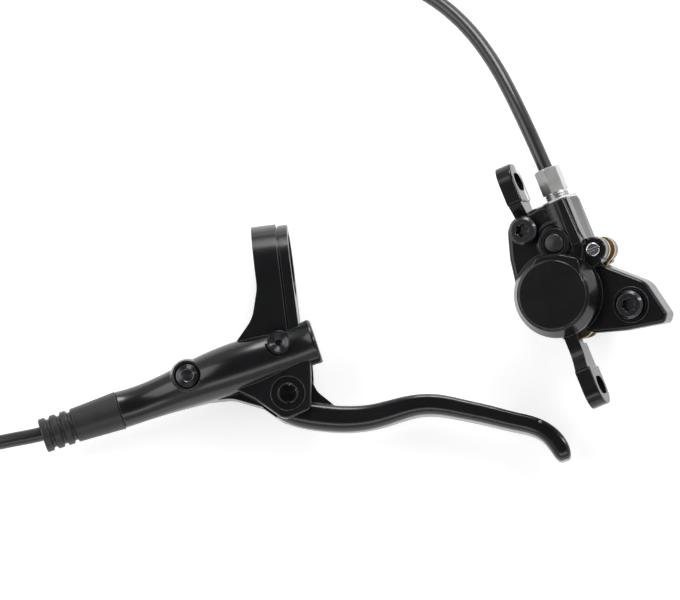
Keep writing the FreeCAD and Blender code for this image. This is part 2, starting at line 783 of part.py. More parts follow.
def reservoir_parts():
    radius = size("reservoir_radius") - 0.15
    wall = 0.7
    low = size("reservoir_start") + 1.5
    high = size("cylinder_length") - 17.2
    bladder = turned("bladder_skin", [
        (0.0, low), (radius, low, 0.8), (radius, high), (radius - wall, high),
        (radius - wall, low + wall, 0.4), (0.0, low + wall),
    ], on_axis(0.0, 2.0, size("reservoir_height")))
    node(bladder, "reservoir_bladder", LEVER)

    seat = bleed_seat()
    height = size("bleed_head_height")
    head = size("bleed_head_radius")
    place = over_axis(bleed_station, size("bleed_offset"), seat)
    wire = size("seal_wire")
    screw = turned("bleed_screw_blank", [
        (0.0, -2.4), (size("bleed_thread_radius"), -2.4, 0.3), (size("bleed_thread_radius"), 0.05),
        (head - wire - 0.3, 0.05), (head - wire - 0.3, 0.6), (head, 0.6), (head, height, 0.25),
        (head - 0.7, height), (1.5, height - 0.55), (0.0, height - 0.55),
    ], place)
    socket = hexagon("bleed_socket", "2.5", "2", place.multiply(at(0, 0, height - 2.2)))
    node(cut("bleed_screw_solid", screw, socket), "bleed_screw", LEVER)
    seal = primitive("Torus", "bleed_seal_ring", place.multiply(at(0, 0, 0.3)),
                     Radius1="bleed_head_radius - seal_wire / 2 - 0.05", Radius2="seal_wire / 3")
    node(seal, "bleed_screw_seal", LEVER)

    plug = size("plug_radius")
    rise = size("plug_height")
    plug_place = over_axis(size("plug_station"), size("plug_offset"), plug_seat())
    cap = turned("plug_blank", [
        (0.0, -2.6), (2.15, -2.6, 0.3), (2.15, 0.05), (plug - wire - 0.3, 0.05), (plug - wire - 0.3, 0.6),
        (plug, 0.6), (plug, rise - 0.5, 0.2), (2.15, rise), (2.0, rise - 0.35), (0.0, rise - 0.35),
    ], plug_place)
    node(cap, "rear_plug", LEVER)
    plug_seal = primitive("Torus", "plug_seal_ring", plug_place.multiply(at(0, 0, 0.3)),
                          Radius1="plug_radius - seal_wire / 2 - 0.05", Radius2="seal_wire / 3")
    node(plug_seal, "rear_plug_seal", LEVER)


# Hose fittings, the same at both ends

def hose_fitting(prefix, nut_label, mouth, frame, hex_start, turn):
    """Nut, olive and insert on a place whose Z axis runs into the port from the port's face."""
    place = mouth.multiply(FreeCAD.Placement(vec(0, 0, 0), FreeCAD.Rotation(Z_AXIS, turn)))
    hose_hole = "hose_radius + fit_clearance"
    length = size("nut_thread_length")
    hexagonal = hexagon(prefix + "_nut_hex", "nut_across_flats", "nut_hex_length",
                        place.multiply(at(0, 0, -hex_start - size("nut_hex_length"))))
    thread = cylinder(prefix + "_nut_thread", "port_thread_radius - 0.05",
                      str(length + hex_start + 0.5), place.multiply(at(0, 0, -hex_start - 0.5)))
    dome = cone(prefix + "_nut_ends", "nut_across_flats / 2 + 0.1", "nut_across_flats / 2 + 4.7", "4.6",
                place.multiply(at(0, 0, -hex_start - size("nut_hex_length"))))
    shaped = common(prefix + "_nut_shaped", hexagonal, fuse(prefix + "_nut_envelope", dome, cylinder(
        prefix + "_nut_rest", "nut_across_flats", "nut_hex_length",
        place.multiply(at(0, 0, -hex_start - size("nut_hex_length") + 1)))))
    hole = cylinder(prefix + "_nut_hole", hose_hole, "40", place.multiply(at(0, 0, -20)))
    node(cut(prefix + "_nut_solid", fuse(prefix + "_nut_blank", shaped, thread), hole), nut_label, frame)
    low = length + 0.02
    inner = size("hose_radius") + 0.02
    olive = turned(prefix + "_olive_ring", [
        (inner, low), (inner + 0.3, low), (size("olive_radius"), low + size("olive_length") / 2),
        (inner + 0.3, low + size("olive_length")), (inner, low + size("olive_length")),
    ], place)
    node(olive, prefix + "_olive", frame)
    end = hose_end()
    insert = turned(prefix + "_insert_tube", [
        (0.5, end - size("insert_length")), (size("insert_radius"), end - size("insert_length")),
        (size("insert_radius"), end + 0.02), (size("hose_radius"), end + 0.02),
        (size("hose_radius"), end + 0.5), (0.5, end + 0.5),
    ], place)
    node(insert, prefix + "_hose_insert", frame)


def hose_end():
    """How far the hose reaches into a port, from the port's face."""
    return size("nut_thread_length") + size("olive_length") - 0.1


def port_depth():
    """Depth of a hose port's bore, which ends just behind the insert's flange."""
    return hose_end() + 0.6


def lever_hose_boot():
    length = size("boot_length")
    big = size("boot_radius")
    grip = size("nut_across_flats") / math.sqrt(3) + 0.15
    hose = size("hose_radius") + size("fit_clearance")
    rib = big - 0.75
    valley = rib - 0.95
    pitch = 3.7
    profile = [(grip, 0.15), (big, 0.15, 0.5), (rib, 15.5, 20.0)]
    for turn in range(3):
        low = 17.0 + turn * pitch
        profile += [(rib, low - 0.5, 0.4), (valley, low, 0.3), (valley, low + 0.8, 0.3), (rib, low + 1.3, 0.4)]
    profile += [(rib, length, 0.5), (hose + 0.75, length), (hose, 16.0), (hose, 10.6), (grip, 9.2)]
    backward = on_axis(0.0).multiply(FreeCAD.Placement(vec(0, 0, 0), FreeCAD.Rotation(X_AXIS, 180)))
    node(turned("boot_rubber", profile, backward), "lever_hose_boot", LEVER)


# The hose: straight runs joined by tangent arcs

def tube_along(name, points, hollow_end):
    """A round tube through a route; each corner's arc is as large as its two runs allow."""
    edges = []
    radii = []
    cursor = points[0]
    for i in range(1, len(points) - 1):
        back = points[i - 1] - points[i]
        ahead = points[i + 1] - points[i]
        shorter = min(back.Length, ahead.Length)
        turn = math.pi - back.getAngle(ahead)
        reach = 0.45 * shorter
        radius = reach / math.tan(turn / 2)
        radii.append(radius)
        back.normalize()
        ahead.normalize()
        start = points[i] + back * reach
        finish = points[i] + ahead * reach
        middle_way = (back + ahead).normalize()
        middle = points[i] + middle_way * (radius / math.cos(turn / 2) - radius)
        edges.append(Part.LineSegment(cursor, start).toShape())
        edges.append(Part.Arc(start, middle, finish).toShape())
        cursor = finish
    edges.append(Part.LineSegment(cursor, points[-1]).toShape())
    path = Part.Wire(edges)
    first_way = (points[1] - points[0]).normalize()
    section = Part.Wire([Part.makeCircle(size("hose_radius"), points[0], first_way)])
    tube = path.makePipeShell([section], True, False)
    print(name, "radii", [round(radius, 1) for radius in radii])
    print(name, "length", round(path.Length, 1), "volume ratio",
          round(tube.Volume / (math.pi * size("hose_radius") ** 2 * path.Length), 4))
    if hollow_end == "start":
        spot, inward = points[0], first_way
    else:
        spot, inward = points[-1], (points[-2] - points[-1]).normalize()
    hole = Part.makeCylinder(size("insert_radius") + 0.02, size("insert_length") + 0.1,
                             spot - inward * 0.1, inward)
    return tube.cut(hole)


def floor_point(x, y):
    return vec(x, y, floor_height + size("hose_radius"))


def hose():
    lying = floor_height + size("hose_radius")
    outer_turn = size("coil_mean_radius") + size("hose_radius")
    coil_x = size("coil_left")
    coil_y = size("coil_up")

    axis_point = LEVER.multiply(AXIS)
    lever_route = [
        axis_point.multVec(vec(hose_end(), 0, 0)),
        axis_point.multVec(vec(-31.0, 0, 0)),
        vec(-128.0, -50.6, -8.6),
        floor_point(-154.0, -26.0),
        floor_point(-161.0, 12.0),
        floor_point(coil_x - outer_turn - 3.0, 48.0),
        floor_point(coil_x - outer_turn, coil_y),
    ]
    span = tube_along("lever_hose_span", lever_route, "start")
    node(feature("lever_span_tube", span), "lever_hose_span", at(0, 0))

    radius = size("hose_radius")
    inner = size("coil_mean_radius") - 2 * radius
    outer = size("coil_mean_radius") + 2 * radius
    coil = turned("coil_ring", [
        (inner, 0.0, radius - 0.1), (outer, 0.0, radius - 0.1),
        (outer, 4 * radius, radius - 0.1), (inner, 4 * radius, radius - 0.1),
    ], at(coil_x, coil_y, floor_height))
    node(coil, "hose_coil", at(0, 0))

    port = CALIPER.multiply(hose_port_place())
    caliper_route = [
        vec(coil_x, coil_y + outer_turn, lying + 2 * radius),
        vec(coil_x + 30.0, coil_y + outer_turn + 0.5, lying + 1.5 * radius),
        floor_point(-60.0, 114.0),
        floor_point(-17.0, 115.0),
        floor_point(26.0, 109.0),
        vec(58.5, 94.0, -7.0),
        vec(79.0, 70.0, 4.0),
        port.multVec(vec(0, 0, -24.0)),
        port.multVec(vec(0, 0, hose_end())),
    ]
    span = tube_along("caliper_hose_span", caliper_route, "end")
    node(feature("caliper_span_tube", span), "caliper_hose_span", at(0, 0))


# Caliper castings, in the caliper's own frame: X across the ears, Y along them, Z outboard

def hose_port_place():
    """Mouth of the caliper's hose port; Z runs into the casting."""
    return at(size("hose_port_x"), size("hose_port_face"), size("hose_port_depth"), toward=vec(0, -1, 0))


def pad_outline(grow):
    wide = size("pad_half_width") + grow
    tall = size("pad_half_height") + grow
    tab = size("pad_tab_half_width") + grow
    reach = pin_reach + size("pad_tab_half_width") + grow
    return [
        (-tall, -wide + 5, 4.0), (-tall + 6, -wide, 4.0), (1.5, -wide, 3.0), (tall - 2.2, -wide + 5.5, 3.0),
        (tall - 2.2, -tab - 2, 1.5), (tall + 1.5, -tab, 1.5), (reach, -tab, tab - 0.05),
        (reach, tab, tab - 0.05), (tall + 1.5, tab, 1.5), (tall - 2.2, tab + 2, 1.5),
        (tall - 2.2, wide - 5.5, 3.0), (1.5, wide, 3.0), (-tall + 6, wide, 4.0), (-tall, wide - 5, 4.0),
    ]


def half_cutters(prefix, side):
    """Holes and pockets of one half; side is +1 for the outer half, -1 for the inner."""
    flip = FreeCAD.Placement() if side > 0 else FreeCAD.Placement(vec(0, 0, 0), FreeCAD.Rotation(X_AXIS, 180))

    def across(x, y, low):
        toward = vec(0, 0, side)
        return at(x, y, side * low, toward)

    hub = PADS.multVec(vec(size("rotor_reach") - size("rotor_radius"), 0))
    seat = size("pad_gap") / 2 + size("lining_thickness") + size("pad_plate_thickness")
    pocket_low = -0.5 if side > 0 else -seat - 0.75
    pocket = prism(prefix + "_pad_pocket", pad_outline(0.4), "%s + 0.75 + 0.5" % seat,
                   PADS.multiply(at(0, 0, pocket_low)))
    mouth = box(prefix + "_pad_mouth", (-40, -size("pad_half_width") - 0.4, min(-0.5, side * (seat + 0.75))),
                (0, size("pad_half_width") + 0.4, max(0.5, side * (seat + 0.75))), PADS)
    return [
        cylinder(prefix + "_rotor_gap", "rotor_radius + 1.2", "rotor_gap",
                 at(hub.x, hub.y, -size("rotor_gap") / 2)),
        pocket,
        mouth,
        cylinder(prefix + "_piston_bore", "caliper_piston_radius + fit_clearance",
                 "caliper_bore_depth - pad_gap / 2 - lining_thickness - pad_plate_thickness",
                 across(size("housing_x"), size("housing_y"), seat)),
        cylinder(prefix + "_seal_groove", "caliper_piston_radius + piston_seal_depth + fit_clearance",
                 "piston_seal_width + 0.1",
                 across(size("housing_x"), size("housing_y"), size("seal_station") - 0.05)),
        cylinder(prefix + "_pin_hole", "pad_pin_radius + fit_clearance", "30",
                 at(pin_spot().x, pin_spot().y, -15)),
        cylinder(prefix + "_crossover", "1.1", "8", at(5.5, 20.5, -4)),
        cylinder(prefix + "_crossover_seat", "2.1", "0.8", across(5.5, 20.5, -0.01)),
    ]


def pin_spot():
    return vec(size("pad_pin_x"), size("pad_pin_y"))


def ear(name, side):
    """One mounting ear; side is +1 for the upper ear and -1 for the lower."""
    tip = size("mount_spacing") / 2 + size("ear_tip")
    root = 15.0
    low = size("mount_depth") - size("ear_width") / 2
    high = size("mount_depth") + size("ear_width") / 2
    step = size("ear_step")
    eye_start = size("mount_spacing") / 2 - 7.0
    corners = [
        (side * root, low), (side * tip, low, 6.0), (side * tip, high, 6.0),
        (side * (eye_start + 2.0), high, 8.0), (side * (eye_start - 5.0), high - 4.4, 8.0),
        (side * root, high - 4.4),
    ]
    if side < 0:
        corners.reverse()
    place = FreeCAD.Placement(
        vec(size("ear_left"), 0, 0), FreeCAD.Rotation(Y_AXIS, Z_AXIS, X_AXIS, "ZXY"))
    plate = prism(name + "_plate", corners, "ear_right - ear_left - ear_step", place)
    eye_corners = [
        (side * eye_start, low, 1.0), (side * tip, low, 6.0), (side * tip, high, 6.0), (side * eye_start, high, 1.0),
    ]
    if side < 0:
        eye_corners.reverse()
    eye = prism(name + "_eye", eye_corners, "ear_right - ear_left", place)
    eye = soften(name + "_eye_rounded", eye, step - 0.1, level(size("ear_right") - size("ear_left"), place))
    return fuse(name, plate, eye)


def ear_slot(name, side):
    half_slot = size("slot_width") / 2
    reach = size("slot_length") / 2
    middle = side * size("mount_spacing") / 2
    depth = size("mount_depth")
    corners = [
        (middle - half_slot, depth - reach, half_slot - 0.02),
        (middle + half_slot, depth - reach, half_slot - 0.02),
        (middle + half_slot, depth + reach, half_slot - 0.02),
        (middle - half_slot, depth + reach, half_slot - 0.02),
    ]
    place = FreeCAD.Placement(vec(-20, 0, 0), FreeCAD.Rotation(Y_AXIS, Z_AXIS, X_AXIS, "ZXY"))
    return prism(name, corners, "40", place)


SHOULDER = [
    (-13.6, -1.0, 4.0), (-11.1, 14.0, 8.0), (-7.6, 25.0, 5.4), (3.5, 26.4, 1.0), (15.0, 26.4, 1.0),
    (15.0, 9.5, 2.5), (12.0, 3.0), (2.0, -6.0),
]
PORT_BLOCK_FOOT = [(10.2, 7.4), (10.2, 26.4), (16.3, 27.1), (15.5, 8.6)]
PORT_BLOCK_TOP = [(10.6, 9.4), (11.4, 25.6), (14.1, 25.9), (14.7, 9.0)]
WING = [
    (8.0, 6.0), (12.9, 3.8, 1.5), (18.4, -1.4, 6.0), (28.2, -10.6, 7.0), (30.9, -23.3, 2.0),
    (28.8, -26.0, 2.0), (15.5, -23.2, 8.0), (4.5, -19.7, 6.0), (-2.0, -14.0),
]
BRIDGE_LOBE = [(11.0, 10.6), (16.0, 10.4, 1.0), (18.0, 1.0, 1.0), (10.0, 0.0)]


def disc_outline():
    """The raised face over the outer piston: round below, running up to the nipple's boss."""
    cx, cy = size("housing_x"), size("housing_y")
    radius = size("disc_radius")
    left = vec(cx + radius * math.cos(math.radians(152)), cy + radius * math.sin(math.radians(152)))
    right = vec(cx + radius * math.cos(math.radians(8)), cy + radius * math.sin(math.radians(8)))
    return [
        (left.x, left.y), (cx, cy), (right.x, right.y), (12.2, 4.6, 2.5), (size("nipple_x") + 0.5, 8.4, 3.0),
        (-1.0, 10.4, 3.0),
    ]


def outer_half():
    hx, hy = size("housing_x"), size("housing_y")
    depth = size("outer_depth")
    radius = size("housing_radius")
    disc = size("disc_radius")
    housing = turned("outer_housing", [
        (0.0, 0.0), (radius, 0.0), (radius, depth - 6.6, 3.0), (disc + 0.7, depth - 1.1, 0.8),
        (disc + 0.1, depth - 1.1, 0.25), (disc, depth, 0.5), (0.0, depth),
    ], at(hx, hy))
    crown = prism("outer_crown", disc_outline(), "outer_depth - 0.3")
    crown = soften("outer_crown_rounded", crown, 0.5, level(depth - 0.3))
    shoulder = prism("outer_shoulder", SHOULDER, "shoulder_depth")
    shoulder = soften("outer_shoulder_rounded", shoulder, 1.6, level(size("shoulder_depth")))
    block = doc.addObject("Part::Loft", "outer_port_block")
    block.Sections = [
        outline_sketch("port_block_foot", PORT_BLOCK_FOOT, at(0, 0)),
        outline_sketch("port_block_top", PORT_BLOCK_TOP, at(0, 0, size("block_depth"))),
    ]
    block.Solid = True
    block = soften("outer_block_rounded", block, 0.6, level(size("block_depth")))
    wing = prism("outer_wing", WING, "wing_depth")
    wing = soften("outer_wing_rounded", wing, 1.5, level(size("wing_depth")))
    wing_boss = cylinder("outer_wing_boss", "body_bolt_head_radius + 1.3", "wing_depth + 0.6",
                         at(size("lower_bolt_x"), size("lower_bolt_y")))
    bridge = prism("outer_bridge", BRIDGE_LOBE, "10.5")
    spot = pin_spot()
    lobe = cylinder("outer_lobe", "pad_pin_radius + 2.8", "10.5", at(spot.x, spot.y))
    lobe = soften("outer_lobe_rounded", lobe, 0.8, level(10.5))
    nipple_boss = cylinder("nipple_boss", "nipple_cap_radius + 1.7", "nipple_rim",
                           at(size("nipple_x"), size("nipple_y")))
    port_boss = turned("port_boss", [
        (0.0, 0.0), (7.4, 0.0), (8.6, 1.2, 0.4), (8.6, 13.0, 3.0), (5.0, 18.0), (0.0, 18.0),
    ], hose_port_place())
    port_boss = common("port_boss_trimmed", port_boss, box("port_room", (-20, -20, 0), (15.2, 60, 60)))
    boss_foot = turned("nipple_boss_foot", [
        (0.0, 0.0), (6.6, 0.0), (6.6, 14.0, 1.0), (0.0, 14.0),
    ], at(size("nipple_x"), size("nipple_y")))
    brow = turned("nipple_brow_ring", [
        (6.0, 10.0), (8.0, 10.0), (7.4, 14.6, 0.5), (6.5, 14.6, 0.4),
    ], at(size("nipple_x"), size("nipple_y")))
    brow = common("nipple_brow", brow, prism("nipple_brow_span", [
        (-1.5, 3.0), (-9.0, 6.0), (-6.0, 12.0), (4.0, 12.0), (2.4, 4.0),
    ], "20", at(size("nipple_x"), size("nipple_y"))))
    solid = fuse("outer_solid", housing, crown, shoulder, block, wing, wing_boss, bridge, lobe, nipple_boss,
                 boss_foot, brow, port_boss, ear("upper_ear", 1), ear("lower_ear", -1))
    below = box("outer_below", (-80, -80, -40), (80, 80, 0))
    port = hose_port_place()
    tools = half_cutters("outer", 1) + [
        below,
        ear_slot("upper_slot", 1),
        ear_slot("lower_slot", -1),
        cylinder("outer_upper_bolt_hole", "body_bolt_radius + 0.15", "40",
                 at(size("upper_bolt_x"), size("upper_bolt_y"), -20)),
        cylinder("outer_upper_seat", "body_bolt_head_radius + 0.4", "10",
                 at(size("upper_bolt_x"), size("upper_bolt_y"), size("shoulder_depth"))),
        cylinder("outer_lower_bolt_hole", "body_bolt_radius + 0.15", "40",
                 at(size("lower_bolt_x"), size("lower_bolt_y"), -20)),
        cylinder("outer_lower_seat", "body_bolt_head_radius + 0.3", "6",
                 at(size("lower_bolt_x"), size("lower_bolt_y"), size("wing_depth") + 0.1)),
        cylinder("nipple_hole", "nipple_radius + fit_clearance", "8",
                 at(size("nipple_x"), size("nipple_y"), size("nipple_seat") - 4.5)),
        cylinder("nipple_recess", "nipple_cap_radius + 0.35", "8",
                 at(size("nipple_x"), size("nipple_y"), size("nipple_seat"))),
        cylinder("caliper_port", "port_thread_radius + fit_clearance", str(port_depth() + 0.5),
                 port.multiply(at(0, 0, -0.5))),
        cylinder("caliper_port_passage", "insert_radius", "6", port.multiply(at(0, 0, 8))),
    ]
    node(cut("outer_casting", solid, *tools), "caliper_outer_half", CALIPER)


def inner_half():
    hx, hy = size("housing_x"), size("housing_y")
    depth = size("inner_depth")
    radius = size("housing_radius")
    over = FreeCAD.Rotation(X_AXIS, 180)
    turned_over = FreeCAD.Placement(vec(hx, hy, 0), over)
    housing = turned("inner_housing", [
        (0.0, 0.0), (radius, 0.0), (radius, depth, BACK_FILLET), (0.0, depth),
    ], turned_over)
    shoulder_depth = 9.5
    shoulder = prism("inner_shoulder", SHOULDER, str(shoulder_depth), at(0, 0, -shoulder_depth))
    shoulder = soften("inner_shoulder_rounded", shoulder, 1.6, level(-shoulder_depth))
    wing = prism("inner_wing", WING, "wing_depth", at(0, 0, -size("wing_depth")))
    wing = soften("inner_wing_rounded", wing, 1.5, level(-size("wing_depth")))
    bridge = prism("inner_bridge", BRIDGE_LOBE, "10", at(0, 0, -10))
    spot = pin_spot()
    lobe = cylinder("inner_lobe", "pad_pin_radius + 2.8", "10", at(spot.x, spot.y, -10))
    lobe = soften("inner_lobe_rounded", lobe, 0.8, level(-10))
    solid = fuse("inner_solid", housing, shoulder, wing, bridge, lobe)
    above = box("inner_above", (-80, -80, 0), (80, 80, 40))
    tools = half_cutters("inner", -1) + [
        above,
        cylinder("inner_upper_thread", "body_bolt_radius + fit_clearance / 2", "8.8",
                 at(size("upper_bolt_x"), size("upper_bolt_y"), -8.3)),
        cylinder("inner_lower_thread", "body_bolt_radius + fit_clearance / 2", "8",
                 at(size("lower_bolt_x"), size("lower_bolt_y"), -7.5)),
    ]
    node(cut("inner_casting", solid, *tools), "caliper_inner_half", CALIPER)


def body_bolts():
    bolts = []
    for label, x, y, seat, reach in (
            ("upper", size("upper_bolt_x"), size("upper_bolt_y"), size("shoulder_depth"), 8.0),
            ("lower", size("lower_bolt_x"), size("lower_bolt_y"), size("wing_depth") + 0.1, 7.2)):
        height = size("body_bolt_head_height")
        top = seat + height
        radius = size("body_bolt_head_radius")
        shank = size("body_bolt_radius")
        blank = turned(label + "_bolt_blank", [
            (0.0, -reach), (shank, -reach, 0.4), (shank, seat + 0.02), (radius, seat + 0.02),
            (radius, top - 0.9, 0.3), (radius - 0.9, top, 0.25), (0.0, top),
        ], at(x, y))
        socket = star(label + "_bolt_socket", size("body_bolt_socket") / 2, "3", at(x, y, top - 2.6))
        bolts.append(cut(label + "_bolt", blank, socket))
    pair = doc.addObject("Part::Compound", "body_bolt_pair")
    pair.Links = bolts
    node(pair, "caliper_body_bolts", CALIPER)


def caliper_hydraulics():
    hx, hy = size("housing_x"), size("housing_y")
    radius = size("caliper_piston_radius")
    plate_back = size("pad_gap") / 2 + size("lining_thickness") + size("pad_plate_thickness")
    length = size("caliper_piston_length")
    gap = size("fit_clearance")
    for prefix, side in (("outer", 1), ("inner", -1)):
        place = at(hx, hy, 0, toward=vec(0, 0, side))
        piston = turned(prefix + "_piston_cup", [
            (radius - 3.0, plate_back), (radius, plate_back, 0.4), (radius, plate_back + length, 0.5),
            (0.0, plate_back + length), (0.0, plate_back + length - 2.2),
            (radius - 3.0, plate_back + length - 2.2, 0.6),
        ], place)
        node(piston, prefix + "_piston", CALIPER)
        low = size("seal_station")
        seal = turned(prefix + "_seal_ring", [
            (radius + gap / 2, low), (radius + size("piston_seal_depth"), low),
            (radius + size("piston_seal_depth"), low + size("piston_seal_width")),
            (radius + gap / 2, low + size("piston_seal_width")),
        ], place)
        node(seal, prefix + "_piston_seal", CALIPER)
    ring = primitive("Torus", "crossover_ring", at(5.5, 20.5, 0), Radius1="1.6", Radius2="0.45")
    node(ring, "crossover_seal", CALIPER)


def body_plane(body, role):
    for plane in body.Origin.OriginFeatures:
        if plane.Role == role:
            return plane
    return None


def pad_body(label, outline, low, thickness, with_hole):
    """A flat pad piece as a padded sketch, in the pads' frame."""
    body = doc.addObject("PartDesign::Body", label + "_body")
    sketch = body.newObject("Sketcher::SketchObject", label + "_sketch")
    sketch.AttachmentSupport = (body_plane(body, "XY_Plane"), [""])
    sketch.MapMode = "FlatFace"
    for edge in corner_path(outline):
        sketch.addGeometry(edge, False)
    if with_hole:
        hole = Part.Circle(vec(pin_reach, 0), Z_AXIS, size("pad_pin_radius") + 0.2)
        index = sketch.addGeometry(hole, False)
        row = sketch.addConstraint(Sketcher.Constraint("Radius", index, size("pad_pin_radius") + 0.2))
        sketch.setExpression("Constraints[%d]" % row, formula("pad_pin_radius + 0.2"))
    raised = body.newObject("PartDesign::Pad", label + "_pad")
    raised.Profile = sketch
    raised.setExpression("Length", formula(thickness))
    body.Placement = PADS.multiply(at(0, 0, low))
    node(body, label, CALIPER)


def pads():
    gap = size("pad_gap") / 2
    lining = size("lining_thickness")
    plate = size("pad_plate_thickness")
    wide = size("pad_half_width") - 0.8
    tall = size("pad_half_height") - 0.6
    lining_outline = [
        (-tall, -wide + 5, 4.0), (-tall + 6, -wide, 4.0), (1.0, -wide, 3.0), (tall - 2.6, -wide + 5.5, 3.0),
        (tall - 2.6, wide - 5.5, 3.0), (1.0, wide, 3.0), (-tall + 6, wide, 4.0), (-tall, wide - 5, 4.0),
    ]
    plate_outline = pad_outline(0.0)
    pad_body("outer_pad_lining", lining_outline, gap, "lining_thickness", False)
    pad_body("outer_pad_plate", plate_outline, gap + lining, "pad_plate_thickness", True)
    pad_body("inner_pad_lining", lining_outline, -gap - lining, "lining_thickness", False)
    pad_body("inner_pad_plate", plate_outline, -gap - lining - plate, "pad_plate_thickness", True)

    sheet = 0.35
    leg = gap + lining - 0.02
    foot = size("pad_half_height") - 1.6
    crown = pin_reach - size("pad_pin_radius") - 0.5
    fold = [
        (foot, -leg), (crown, -leg, 0.8), (crown, leg, 0.8), (foot, leg), (foot, leg - sheet),
        (crown - sheet, leg - sheet, 0.5), (crown - sheet, -leg + sheet, 0.5), (foot, -leg + sheet),
    ]
    half = size("pad_tab_half_width") - 0.6
    fold_place = PADS.multiply(FreeCAD.Placement(vec(0, half, 0), FreeCAD.Rotation(X_AXIS, 90)))
    spring = prism("pad_spring_fold", fold, "2 * pad_tab_half_width - 1.2", fold_place)
    node(spring, "pad_spring", CALIPER)

    spot = pin_spot()
    pin = turned("pad_pin_blank", [
        (0.0, -11.6), (size("pad_pin_radius"), -11.6, 0.4), (size("pad_pin_radius"), 10.55),
        (size("pad_pin_head_radius"), 10.55), (size("pad_pin_head_radius"), 11.9, 0.6), (0.0, 11.9),
    ], at(spot.x, spot.y))
    slot = box("pad_pin_slot", (spot.x - 3, spot.y - 0.4, 11.1), (spot.x + 3, spot.y + 0.4, 13))
    node(cut("pad_pin_solid", pin, slot), "pad_pin", CALIPER)


def nipple_parts():
    place = at(size("nipple_x"), size("nipple_y"), size("nipple_seat"))
    radius = size("nipple_radius")
    stem = turned("nipple_turned", [
        (0.6, -4.2), (radius - 0.6, -4.2), (radius, -3.6), (radius, 0.02), (2.9, 0.02), (2.9, 0.9),
        (1.7, 1.2), (1.7, 3.2, 0.3), (0.6, 3.2),
    ], place)
    node(stem, "bleed_nipple", CALIPER)
    cap = size("nipple_cap_radius")
    rubber = turned("nipple_cap_rubber", [
        (1.72, 1.25), (2.95, 0.95), (cap, 1.3, 0.3), (cap, 3.9, 0.9), (0.0, 4.2),
        (0.0, 3.25), (1.72, 3.25),
    ], place)
    node(rubber, "bleed_nipple_cap", CALIPER)


master_cylinder_body()
clamp_bolt()
brake_lever()
pivot_parts()
master_piston_parts()
reservoir_parts()
hose_fitting("lever", "lever_compression_nut", on_axis(0.0), LEVER, 0.3, 0.0)
lever_hose_boot()
hose()
outer_half()
inner_half()
body_bolts()
caliper_hydraulics()
pads()
nipple_parts()
hose_fitting("caliper", "caliper_hose_nut", hose_port_place(), CALIPER, 2.6, 36.0)

doc.recompute()

faults = [obj.Name for obj in doc.Objects if "Invalid" in obj.State or "Error" in obj.State]
for name in SOLID_NAMES:
    shape = doc.getObject(name).Shape
    if shape.isNull() or not shape.isValid() or not shape.Solids:
        faults.append(name)
if faults:
    raise RuntimeError("these objects failed: " + ", ".join(faults))

os.makedirs("parts", exist_ok=True)
for name in SOLID_NAMES:
    obj = doc.getObject(name)
    obj.Shape.exportStep("parts/" + obj.Label + ".step")
print(len(SOLID_NAMES), "sub-parts written")
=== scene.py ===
import json
import math

import bpy
from mathutils import Matrix, Vector


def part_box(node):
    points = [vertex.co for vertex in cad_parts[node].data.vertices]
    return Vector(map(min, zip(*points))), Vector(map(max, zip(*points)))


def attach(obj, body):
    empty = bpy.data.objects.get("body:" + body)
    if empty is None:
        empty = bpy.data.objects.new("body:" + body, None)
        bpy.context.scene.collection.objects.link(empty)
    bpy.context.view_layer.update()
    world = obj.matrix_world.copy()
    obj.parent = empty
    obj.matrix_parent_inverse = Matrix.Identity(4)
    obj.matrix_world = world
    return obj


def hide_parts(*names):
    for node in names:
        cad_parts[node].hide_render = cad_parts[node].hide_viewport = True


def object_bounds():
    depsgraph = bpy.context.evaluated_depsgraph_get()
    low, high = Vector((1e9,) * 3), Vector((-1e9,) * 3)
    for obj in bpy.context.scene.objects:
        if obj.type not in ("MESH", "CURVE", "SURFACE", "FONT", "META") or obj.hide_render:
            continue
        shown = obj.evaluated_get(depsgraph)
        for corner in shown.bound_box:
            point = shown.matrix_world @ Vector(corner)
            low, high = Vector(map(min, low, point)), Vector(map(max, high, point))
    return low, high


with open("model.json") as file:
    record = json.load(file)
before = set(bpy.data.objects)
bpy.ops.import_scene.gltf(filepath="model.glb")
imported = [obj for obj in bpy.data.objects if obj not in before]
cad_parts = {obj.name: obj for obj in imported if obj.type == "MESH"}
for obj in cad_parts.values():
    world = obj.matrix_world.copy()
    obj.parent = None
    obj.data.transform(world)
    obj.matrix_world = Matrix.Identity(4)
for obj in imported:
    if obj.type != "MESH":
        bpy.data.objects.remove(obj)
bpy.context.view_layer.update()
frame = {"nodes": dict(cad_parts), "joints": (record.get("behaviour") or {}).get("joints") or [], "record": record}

MM = 0.001
NODES = frame["nodes"]
JOINTS = {joint["name"]: joint for joint in frame["joints"]}
MOUNTS = {mount["name"]: mount for mount in frame["record"]["mounts"]}


def middle(node):
    """Middle of a node's box at rest."""
    low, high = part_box(node)
    return (Vector(low) + Vector(high)) / 2


def add_object(name, data):
    added = bpy.data.objects.new(name, data)
    bpy.context.scene.collection.objects.link(added)
    return added


def add_mesh(name, verts, faces, material):
    mesh = bpy.data.meshes.new(name)
    mesh.from_pydata(verts, [], faces)
    mesh.update()
    mesh.materials.append(material)
    return add_object(name, mesh)


def band_faces(rows):
    """Faces of a closed section swept from row to row, with both ends filled."""
    faces = [tuple(reversed(rows[0])), tuple(rows[-1])]
    for near, far in zip(rows, rows[1:]):
        for here in range(len(near)):
            after = (here + 1) % len(near)
            faces.append((near[here], near[after], far[after], far[here]))
    return faces


# Directions of the lever end, and the caliper's own frame, read from the joints, seals and mounts

